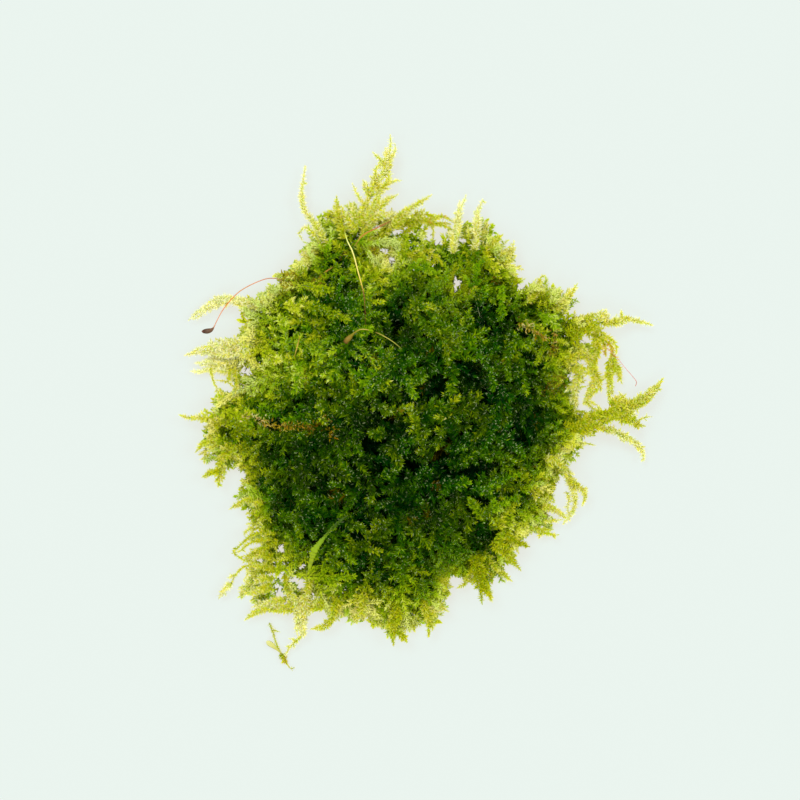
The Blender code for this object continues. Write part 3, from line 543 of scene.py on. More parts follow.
def readAt(field, x, y):  # the field between its grid points
    i = np.clip((x - matField["x0"]) / matField["step"], 0, field.shape[1] - 1.001)
    j = np.clip((y - matField["y0"]) / matField["step"], 0, field.shape[0] - 1.001)
    i0, j0 = i.astype(int), j.astype(int)
    fi, fj = i - i0, j - j0
    nearer = field[j0, i0] * (1 - fi) + field[j0, i0 + 1] * fi
    farther = field[j0 + 1, i0] * (1 - fi) + field[j0 + 1, i0 + 1] * fi
    return nearer * (1 - fj) + farther * fj


def inGap(x, y):
    found = np.zeros(x.shape, bool)
    for cx, cy, halfWidth, halfLength in gaps:
        right, up = (x - cx) / halfWidth, (y - cy) / halfLength
        turn = np.arctan2(up, right)
        waves = zip(gapWaves, (cx, cy, 0))
        ragged = sum(high * np.sin(many * turn + phase) for (many, high), phase in waves)
        found |= right ** 2 + up ** 2 < gapSize + ragged
    return found


# Growing shoots: many at once, as rows of points a step apart

pathStep = 0.5
curveSteps = 16  # between two of the points that a smooth path goes through
clearance = 0.15  # of every stem above the floor
wander = 0.05  # how far a heading strays in a step
steepest = 0.7  # slope of a shoot that seeks its height


def growAxes(start, heading, length, share, lift, rise, curl, follow, slope, reach):
    # the height they seek is a share of the mat's, with a lift and a rise along the way; "follow" is
    # how much they seek it, against keeping their slope, and "reach" how far they go past the rim
    count = len(length)
    steps = int(np.ceil(length.max() / pathStep)) + 1
    paths = np.empty((count, steps + 1, 3))
    place = start.copy()
    turn = heading.copy()
    blocked = np.full(count, steps + 1)
    for k in range(steps + 1):
        paths[:, k] = place
        past = readAt(matField["depth"], place[:, 0], place[:, 1]) < -reach
        past |= inGap(place[:, 0], place[:, 1])
        blocked = np.where(past & (blocked > k), k, blocked)
        place[:, 0] += pathStep * np.cos(turn)
        place[:, 1] += pathStep * np.sin(turn)
        turn += pathStep * curl + chance.normal(0, wander, count)
        goal = share * readAt(matField["canopy"], place[:, 0], place[:, 1]) + lift + rise * k * pathStep
        climb = np.clip(goal - place[:, 2], -steepest * pathStep, steepest * pathStep)
        place[:, 2] += follow * climb + (1 - follow) * slope * pathStep
        place[:, 2] = np.maximum(place[:, 2], clearance)
    return paths, np.minimum(length, blocked * pathStep)


def along(paths, axis, distance):  # place and direction on a path at a distance from its start
    reading = distance / pathStep
    low = np.clip(reading.astype(int), 0, paths.shape[1] - 2)
    near, far = paths[axis, low], paths[axis, low + 1]
    return near + (far - near) * (reading - low)[:, None], unit(far - near)


def counted(counts):  # for each item of each axis: its axis and its number on that axis
    axis = np.repeat(np.arange(len(counts)), counts)
    return axis, np.arange(len(axis)) - np.repeat(np.cumsum(counts) - counts, counts)


branching = {
    "jitter": 0.8,  # of the spacing
    "size": (1.25, 1.05),  # of branches at a shoot's root, and how much less at its tip
    "sizeRange": (0.25, 1.0),
    "sizeChance": (0.55, 1.25),
    "angleChance": 22.0,
    "shortest": 0.8,
}


def branchOut(paths, length, spacing, first, branchLength, angle, keep):
    # side branches by turns left and right, shorter to the tip
    counts = np.maximum(((length - first) / spacing).astype(int), 0)
    axis, order = counted(counts)
    distance = first + (order + chance.uniform(0, branching["jitter"], len(order))) * spacing
    kept = chance.random(len(order)) < keep
    axis, order, distance = axis[kept], order[kept], distance[kept]
    place, direction = along(paths, axis, distance)
    part = distance / length[axis]
    atRoot, lessAtTip = branching["size"]
    size = np.clip(atRoot - lessAtTip * part, *branching["sizeRange"])
    size = size * chance.uniform(*branching["sizeChance"], len(axis))
    side = np.where((order + axis) % 2 == 0, 1, -1)
    heading = np.arctan2(direction[:, 1], direction[:, 0])
    heading = heading + side * np.radians(chance.normal(angle, branching["angleChance"], len(axis)))
    size = np.maximum(branchLength[axis] * size, branching["shortest"])
    return axis, place, heading, size, direction[:, 2], side


# Leaves and stems on those paths

leafing = {
    "turn": 137.5,  # from each leaf to the next one up the stem
    "flatness": 0.5,
    "spread": 46.0,  # a leaf stands out from its stem by this, and at the very tip by the next
    "tipSpread": 9.0,
    "spreadChance": 12.0,
    "budLeaves": 9,  # the last ones of a shoot close up to a point
    "budSize": (0.62, 0.38),  # how long they are at the tip, and how much more farther down
    "face": (0.8, 0.5, 0.15),  # how much a leaf faces up, along its stem, and anywhere
    "longChance": (0.7, 1.25),
    "wideChance": (0.6, 1.3),
    "stemTaper": 0.6,
}


def leavesOn(paths, length, pitch, size, slim, spread=leafing["spread"], taper=0.0):
    counts = np.maximum((length / pitch).astype(int), 3)
    axis, order = counted(counts)
    part = (order + 0.5) / counts[axis]
    base, stem = along(paths, axis, part * length[axis])
    side = unit(np.cross(stem, (0, 0, 1)))
    top = np.cross(side, stem)
    turn = np.radians(order * leafing["turn"]) + chance.uniform(0, 2 * np.pi, len(length))[axis]
    bud = np.clip((1 - part) * counts[axis] / leafing["budLeaves"], 0, 1)  # 0 at the very tip
    lean = leafing["tipSpread"] + (spread - leafing["tipSpread"]) * bud
    lean = np.radians(lean + chance.normal(0, leafing["spreadChance"], len(axis)))[:, None]
    around = np.cos(turn)[:, None] * side + leafing["flatness"] * np.sin(turn)[:, None] * top
    pointing = unit(np.cos(lean) * stem + np.sin(lean) * unit(around))
    inner = stem - (stem * pointing).sum(1, keepdims=True) * pointing
    up, stemward, anywhere = leafing["face"]
    face = up * top + stemward * inner + anywhere * chance.normal(0, 1, (len(axis), 3))
    face = unit(face - (face * pointing).sum(1, keepdims=True) * pointing)
    atTip, more = leafing["budSize"]
    long = size[axis] * (atTip + more * bud)
    long = long * (1 - np.broadcast_to(taper, len(length))[axis] * part ** 2)
    long = long * chance.uniform(*leafing["longChance"], len(axis))
    wide = long * slim * chance.uniform(*leafing["wideChance"], len(axis))
    return {"axis": axis, "part": part, "base": base, "pointing": pointing, "face": face,
            "long": long, "wide": wide}


def columnOf(tones):  # the chart's column for a tone from 0 to 1
    return np.clip((tones * chart["columns"]).astype(int), 0, chart["columns"] - 1)[:, None]


def leafMesh(leaves, chosen, tones, kinds, pattern):
    points, faces = pattern
    pick = {key: value[chosen] for key, value in leaves.items()}
    sideways = np.cross(pick["pointing"], pick["face"])
    x, y, z = points.T
    spots = (pick["base"][:, None] + (pick["wide"][:, None] * x)[..., None] * sideways[:, None]
             + (pick["long"][:, None] * y)[..., None] * pick["pointing"][:, None]
             + (pick["long"][:, None] * z)[..., None] * pick["face"][:, None])
    first, filled = chart["along"]
    column = columnOf(tones[chosen])
    u = (column + 0.5 + chart["across"] * x) / chart["columns"]
    v = (kinds[chosen][:, None] + first + filled * y) / chart["rows"]
    corners = faces[None] + (np.arange(len(column)) * len(points))[:, None, None]
    return spots.reshape(-1, 3), corners.reshape(-1, 3), np.stack([u, v], -1).reshape(-1, 2)


def stemMesh(paths, length, chosen, radius, spacing, tones):
    pick = np.flatnonzero(chosen)
    counts = np.maximum(np.ceil(length[pick] / spacing).astype(int), 1) + 1
    axis, ring = counted(counts)
    part = ring / (counts[axis] - 1)
    centre, stem = along(paths, pick[axis], part * length[pick][axis])
    side = unit(np.cross(stem, (0, 0, 1)))
    top = np.cross(side, stem)
    thick = radius[pick][axis] * (1 - leafing["stemTaper"] * part)
    angles = np.radians([90.0, 210.0, 330.0])
    spots = (centre[:, None] + (thick[:, None] * np.cos(angles))[..., None] * side[:, None]
             + (thick[:, None] * np.sin(angles))[..., None] * top[:, None])
    first, filled = chart["along"]
    u = (columnOf(tones[pick][axis]) + np.array(chart["ring"])) / chart["columns"]
    v = np.repeat(((chart["stemRow"] + first + filled * part) / chart["rows"])[:, None], 3, 1)
    here = np.flatnonzero(ring < counts[axis] - 1)
    quads = []
    for k in range(3):
        a, b = 3 * here + k, 3 * here + (k + 1) % 3
        quads += [np.stack([a, b, b + 3], 1), np.stack([a, b + 3, a + 3], 1)]
    return spots.reshape(-1, 3), np.concatenate(quads), np.stack([u, v], -1).reshape(-1, 2)


def makePiece(name, meshes, material):  # one object from several (points, faces, map) sets
    start = np.cumsum([0] + [len(points) for points, _, _ in meshes])
    points = np.concatenate([m[0] for m in meshes])
    faces = np.concatenate([m[1] + s for m, s in zip(meshes, start)])
    places = np.concatenate([m[2] for m in meshes])
    points[:, 2] = np.maximum(points[:, 2], lowest)
    mesh = bpy.data.meshes.new(name)
    mesh.vertices.add(len(points))
    mesh.vertices.foreach_set("co", (points * mm).ravel())
    mesh.loops.add(3 * len(faces))
    mesh.loops.foreach_set("vertex_index", faces.ravel().astype(np.int32))
    mesh.polygons.add(len(faces))
    mesh.polygons.foreach_set("loop_start", np.arange(0, 3 * len(faces), 3, dtype=np.int32))
    layer = mesh.uv_layers.new(name="OFBake")
    layer.data.foreach_set("uv", places[faces.ravel()].ravel())
    mesh.update(calc_edges=True)
    mesh.validate()
    mesh.shade_smooth()
    mesh.materials.append(material)
    piece = bpy.data.objects.new(name, mesh)
    bpy.context.collection.objects.link(piece)
    return piece


def settle(piece, node):
    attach(piece, "root")
    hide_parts(node)


def pieceName(node):
    first, *rest = node.split("_")
    return first + "".join(word.title() for word in rest)


# The mat: layers of branched shoots over each other

# Each layer seeks a share of the mat's height, with a lift from and to and a rise along its shoots,
# and thins out over the given distance from the rim. "shade" is painted shade: how much paler its
# leaves are painted, less for the deeper layers as if they lay in the shade of those above, and
# "pitch", "size" and "slim" are their spacing, length and width. The surface is the pale shoots
# above, and the felt closes what the others leave open.
layers = [
    {"name": "crown", "count": 130, "share": 1.0, "lift": (-0.9, 0.0), "rise": 0.09, "length": (7, 14),
     "thin": 0.0, "shade": 0.03, "pitch": 0.084, "size": 1.06, "slim": 0.35},
    {"name": "top", "count": 215, "share": 1.0, "lift": (-1.8, -0.9), "rise": 0.07, "length": (8, 16),
     "thin": 0.0, "shade": 0.0, "pitch": 0.088, "size": 1.06, "slim": 0.35},
    {"name": "middle", "count": 300, "share": 0.92, "lift": (-2.2, -1.2), "rise": 0.03, "length": (8, 18),
     "thin": 4.0, "shade": -0.04, "pitch": 0.13, "size": 1.15, "slim": 0.44},
    {"name": "low", "count": 240, "share": 0.74, "lift": (-1.6, 0.0), "rise": 0.0, "length": (8, 16),
     "thin": 7.0, "shade": -0.065, "pitch": 0.19, "size": 1.5, "slim": 0.55},
    {"name": "old", "count": 200, "share": 0.45, "lift": (-1.0, 0.5), "rise": 0.0, "length": (8, 16),
     "thin": 10.0, "shade": -0.08, "pitch": 0.25, "size": 1.9, "slim": 0.6},
    {"name": "under", "count": 260, "share": 0.0, "lift": (0.5, 1.6), "rise": 0.0, "length": (8, 16),
     "thin": 0.0, "shade": 0.0, "pitch": 0.26, "size": 1.7, "slim": 0.6},
    {"name": "fringe", "count": 460, "share": 0.7, "lift": (-0.6, 0.6), "rise": 0.0, "length": (4, 9),
     "thin": 0.0, "shade": 0.0, "pitch": 0.09, "size": 1.0, "slim": 0.36},
    {"name": "surface", "shade": 0.0, "pitch": 0.085, "size": 1.0, "slim": 0.38},
    {"name": "felt", "count": 120, "share": 0.2, "lift": (0.6, 1.8), "rise": 0.0, "length": (8, 16),
     "thin": 6.0, "shade": -0.06, "pitch": 0.24, "size": 1.9, "slim": 0.62},
]
matGrowth = {
    "fringeDepth": 4.5,
    "fringeShare": (0.25, 1.0),
    "stray": (0.55, 1.3),  # from the way out, near the rim and farther in than the next
    "strayDepth": 7,
    "lost": 0.35,  # this share of the shoots farther in than the next heads anywhere
    "lostDepth": 5,
    "sink": 0.6,  # a shoot starts this far under the height that it seeks
    "reach": (0.6, 2.9),  # past the rim
    "curl": 0.045,
    "follow": 0.9,
    "branchSpacing": 1.08,
    "branchFirst": 0.7,
    "branchLength": (2.6, 5.6),
    "branchFull": (9, 0.3, 1),  # a shoot of the first length has them in full, a short one shorter
    "branchAngle": 54.0,
    "keep": 0.92,
    "twigRise": {"crown": 0.2, "top": 0.15},
    "twigRiseChance": 0.06,
    "twigCurl": (-0.07, 0.04),
    "twigFollow": 0.8,
    "twigReach": 0.4,
    "shortest": (1.0, 0.5),  # shoot and twig
    "tint": (-1.6, 1.3),
    "tintChance": 0.8,
    "tracedTint": (9, 0.5),  # how strongly a pale shoot's own value counts, and how much less chance
    "stemLeaf": 1.15,
    "branchLeaf": 1.02,
    "sizes": (0.7, 1.06),  # of leaves at the rim and this far in
    "sizesDepth": 12,
    "sizeChance": (0.9, 1.1),
    "stemRadius": 0.13,
    "branchRadius": 0.08,
    "stemRing": 2.2,
    "branchRing": 4.0,
    # stems paler at the rim: partly young stems, partly painted light shining up through the thin rim
    "stemTone": (0.15, 0.6, 6.5, 0.05),  # least, more at the rim, how far in that goes, and tint
    "deadShare": {"middle": 0.02, "low": 0.05, "old": 0.2, "under": 0.5, "felt": 0.2},
    "deadDepth": 4,
    "deadPart": 0.75,
    "brownedShare": 0.42,
    "gapShare": 0.06,  # of the leaves over a gap stay, seen from this share of their length
    "gapLeafPart": 0.6,
    "wedgeMiddle": -2,
    "wedges": ["North", "NorthWest", "SouthWest", "South", "SouthEast", "NorthEast"],
}
matTone = {  # how bright a leaf is, from where it lies
    "least": 0.27,
    # paler at the rim: partly the young leaves there, partly painted light shining up through the thin rim
    "rim": 0.6,
    "rimReach": 9,
    "middle": (5.0, -7.0),
    "away": 0.04,  # more with the distance from the middle, between the next two
    "awayReach": (14.0, 40.0),
    # painted shade and light: a leaf lying lower than the leaves round it is painted darker, as in their
    # shade, one above them lighter
    "over": 0.11,  # more with the height over the leaves round it, and less so at the rim
    "overRange": (-3, 1.0),
    "overAtRim": 0.7,
    "tint": (0.066, 0.04),  # how much a shoot's own value counts, and how much less at the rim
    # paler towards the tip: partly the young tips, partly painted shade at the roots
    "along": 0.1,  # from a shoot's root to its tip, and more in its last third
    "tip": 0.02,
    "thin": 0.35,  # narrow leaves are paler than those of the plain width
    "plainWidth": 0.4,
    "chance": (0.1, 0.085),  # and how much less at the rim
}


def seedPlaces(layer):  # one seed in each cell of a loose grid, as thickly as the layer grows there
    weight = matField["covered"].astype(float)
    if layer["name"] == "fringe":
        weight *= matField["depth"] < matGrowth["fringeDepth"]
    elif layer["thin"]:
        weight *= np.clip(matField["depth"] / layer["thin"], 0, 1)
    step = matField["step"] * math.sqrt(weight.sum() / layer["count"])
    x, y = np.meshgrid(np.arange(matField["xs"][0], matField["xs"][-1], step),
                       np.arange(matField["ys"][0], matField["ys"][-1], step))
    x = x.ravel() + chance.uniform(0, step, x.size)
    y = y.ravel() + chance.uniform(0, step, y.size)
    grows = chance.random(x.size) < readAt(weight, x, y)
    return x[grows], y[grows]


def wedgeOf(x, y):
    sixths = (np.degrees(np.arctan2(y - matGrowth["wedgeMiddle"], x)) - 60) // 60
    return (sixths % 6).astype(int)


def growLayer(layer):
    x, y = seedPlaces(layer)
    count = len(x)
    depth = readAt(matField["depth"], x, y)
    outward = matField["outward"][((y - matField["y0"]) / matField["step"]).astype(int),
                                  ((x - matField["x0"]) / matField["step"]).astype(int)]
    stray = np.where(depth < matGrowth["strayDepth"], *matGrowth["stray"])
    heading = outward + chance.normal(0, stray, count)
    if layer["name"] != "fringe":
        lost = chance.random(count) < matGrowth["lost"] * (depth > matGrowth["lostDepth"])
        heading = np.where(lost, chance.uniform(-np.pi, np.pi, count), heading)
    length = chance.uniform(*layer["length"], count)
    lift = chance.uniform(*layer["lift"], count)
    share = np.full(count, layer["share"])
    if layer["name"] == "fringe":
        share = chance.uniform(*matGrowth["fringeShare"], count)
    z = np.maximum(share * readAt(matField["canopy"], x, y) + lift - matGrowth["sink"], clearance)
    reach = chance.uniform(*matGrowth["reach"], count)
    curl = chance.normal(0, matGrowth["curl"], count)
    paths, length = growAxes(np.stack([x, y, z], 1), heading, length, share, lift, layer["rise"], curl,
                             matGrowth["follow"], 0.0, reach)
    full, least, most = matGrowth["branchFull"]
    spread = chance.uniform(*matGrowth["branchLength"], count) * np.clip(length / full, least, most)
    axis, place, turn, size, slope, side = branchOut(
        paths, length, matGrowth["branchSpacing"], matGrowth["branchFirst"], spread,
        matGrowth["branchAngle"], matGrowth["keep"])
    above = place[:, 2] - share[axis] * readAt(matField["canopy"], place[:, 0], place[:, 1])
    climb = matGrowth["twigRise"].get(layer["name"], 0.0) * chance.uniform(0, 2, len(axis))
    climb = climb + chance.normal(0, matGrowth["twigRiseChance"], len(axis))
    curl, curlChance = matGrowth["twigCurl"]
    curl = side * curl + chance.normal(0, curlChance, len(axis))
    twigs, size = growAxes(place, turn, size, share[axis], above, climb, curl, matGrowth["twigFollow"],
                           slope, reach[axis] + matGrowth["twigReach"])
    shortest, shortestTwig = matGrowth["shortest"]
    return {"paths": paths, "length": np.maximum(length, shortest),
            "twigs": twigs, "size": np.maximum(size, shortestTwig), "parent": axis,
            "tint": np.clip(chance.normal(0, 1, count), *matGrowth["tint"]),
            "sort": chance.integers(0, chart["greens"], count), "wedge": wedgeOf(x, y)}


def matTones(leaves, tint, shade):
    x, y, z = leaves["base"].T
    # paler at the rim: partly the young leaves there, partly painted light shining up through the thin rim
    rim = np.exp(-np.maximum(readAt(matField["depth"], x, y), 0) / matTone["rimReach"])
    cx, cy = matTone["middle"]
    low, high = matTone["awayReach"]
    away = np.clip((np.hypot(x - cx, y - cy) - low) / (high - low), 0, 1)
    # painted shade: darker where a leaf lies below the leaves round it, lighter where it lies above them
    over = np.clip(z - readAt(matField["level"], x, y), *matTone["overRange"])
    over = matTone["over"] * over * (1 - matTone["overAtRim"] * rim)
    # the layer's "shade" is painted shade, darker for the deeper layers, less so at the rim
    tone = matTone["least"] + matTone["rim"] * rim + matTone["away"] * away + over + shade * (1 - rim)
    # patches of the leaves' own tone, and of painted shade in the hollows
    patch = 0.0
    for cx, cy, reach, shift in shadeAndTonePatches:
        patch = patch + shift * bell(x - cx, y - cy, reach)
    tinted, lessTinted = matTone["tint"]
    # paler towards a shoot's tip: partly the young tips, partly painted shade at the roots
    tone = tone + patch + (tinted - lessTinted * rim) * tint + matTone["along"] * (leaves["part"] - 0.5)
    tip = np.clip(leaves["part"] * 3 - 2, 0, 1)
    thin = matTone["plainWidth"] - leaves["wide"] / leaves["long"]
    tone = tone + matTone["tip"] * tip + matTone["thin"] * thin
    scatter, lessScatter = matTone["chance"]
    return tone + (scatter - lessScatter * rim) * chance.normal(0, 1, len(x))


def traceLayer():  # the same for the shoots whose places are known
    curves, spread, paler = [], [], []
    for reach, pale, places in surfaceShoots:
        x, y = np.array(places).T
        lift = surfaceGrowth["lift"] * np.array([0.0] + [1.0] * (len(x) - 1))
        curves.append(smoothPath(np.stack([x, y, readAt(matField["level"], x, y) + lift], 1)))
        spread.append(reach)
        paler.append(pale)
    paths = stacked([curve for curve, _ in curves])
    length = np.array([run for _, run in curves])
    axis, place, turn, size, slope, side = branchOut(
        paths, length, surfaceGrowth["spacing"], surfaceGrowth["first"],
        np.array(spread) * surfaceGrowth["reach"], surfaceGrowth["angle"], surfaceGrowth["keep"])
    twigs, size = growAxes(place, turn, size, 0.0, place[:, 2], 0.0, side * surfaceGrowth["curl"],
                           surfaceGrowth["follow"], slope, anyReach)
    return {"paths": paths, "length": length, "twigs": twigs,
            "size": np.maximum(size, surfaceGrowth["shortest"]), "parent": axis, "tint": np.array(paler),
            "sort": chance.integers(0, chart["greens"], len(length)),
            "wedge": wedgeOf(paths[:, 3, 0], paths[:, 3, 1])}


def brownedAt(places):  # some of the leaves there
    found = np.zeros(len(places), bool)
    for cx, cy, reach in browned:
        near = np.hypot(places[:, 0] - cx, places[:, 1] - cy) < reach
        found |= near & (chance.random(len(places)) < matGrowth["brownedShare"])
    return found


def kindsOf(kinds, old):  # dead kinds for the leaves that are old
    dead = chart["deadRow"] + chance.integers(0, chart["deadRows"], len(kinds))
    return np.where(old, dead, kinds)


def growMat(finish, pattern):
    meshes = {name: [] for name in matGrowth["wedges"]}
    meshes["under"] = []
    leafCount = 0
    for layer in layers:
        traced = layer["name"] == "surface"
        grown = traceLayer() if traced else growLayer(layer)
        dead = chance.random(len(grown["tint"])) < matGrowth["deadShare"].get(layer["name"], 0.0)
        sets = [
            (grown["paths"], grown["length"], np.arange(len(grown["length"])),
             matGrowth["stemLeaf"], matGrowth["stemRadius"], matGrowth["stemRing"]),
            (grown["twigs"], grown["size"], grown["parent"],
             matGrowth["branchLeaf"], matGrowth["branchRadius"], matGrowth["branchRing"]),
        ]
        for paths, length, parent, leafSize, radius, ringStep in sets:
            count = len(length)
            stronger, steadier = matGrowth["tracedTint"] if traced else (1, 0)
            tint = grown["tint"][parent] * stronger
            tint = tint + chance.normal(0, matGrowth["tintChance"] - steadier, count)
            middle = along(paths, np.arange(count), length / 2)[0]
            inward = np.maximum(readAt(matField["depth"], middle[:, 0], middle[:, 1]), 0)
            leafSize = leafSize * np.interp(inward, (0, matGrowth["sizesDepth"]), matGrowth["sizes"])
            leafSize = leafSize * layer["size"] * chance.uniform(*matGrowth["sizeChance"], count)
            leaves = leavesOn(paths, length, layer["pitch"], leafSize, layer["slim"])
            tones = matTones(leaves, tint[leaves["axis"]], layer["shade"])
            deep = (inward > matGrowth["deadDepth"])[leaves["axis"]]
            old = dead[parent][leaves["axis"]] & (leaves["part"] < matGrowth["deadPart"]) & deep
            old |= brownedAt(leaves["base"])
            kinds = kindsOf(grown["sort"][parent][leaves["axis"]], old)
            partWay = matGrowth["gapLeafPart"] * leaves["long"][:, None]
            middles = leaves["base"] + partWay * leaves["pointing"]
            clear = ~inGap(middles[:, 0], middles[:, 1])
            clear |= chance.random(len(clear)) < matGrowth["gapShare"]
            # stems paler at the rim, partly painted light shining up through the thin rim
            least, atRim, rimReach, tinted = matGrowth["stemTone"]
            stemTone = least + atRim * np.exp(-inward / rimReach) + tinted * tint
            leafCount += int(clear.sum())
            for number, name in enumerate(matGrowth["wedges"]):
                inWedge = grown["wedge"][parent] == number
                into = meshes["under" if layer["name"] in ("under", "felt") else name]
                into.append(leafMesh(leaves, inWedge[leaves["axis"]] & clear, tones, kinds, pattern))
                into.append(stemMesh(paths, length, inWedge, np.full(count, radius), ringStep, stemTone))
    for name, parts in meshes.items():
        piece = makePiece("matUnderside" if name == "under" else f"matShoots{name}", parts, finish)
        settle(piece, "moss_mat")
        print(piece.name, len(piece.data.polygons), "triangles")
    print("mat grown:", leafCount, "leaves")


# Free shoots round the rim: how full of side branches, then for the stem and each fork how wide it
# is, how much narrower its tip, how much paler than the others, and its points

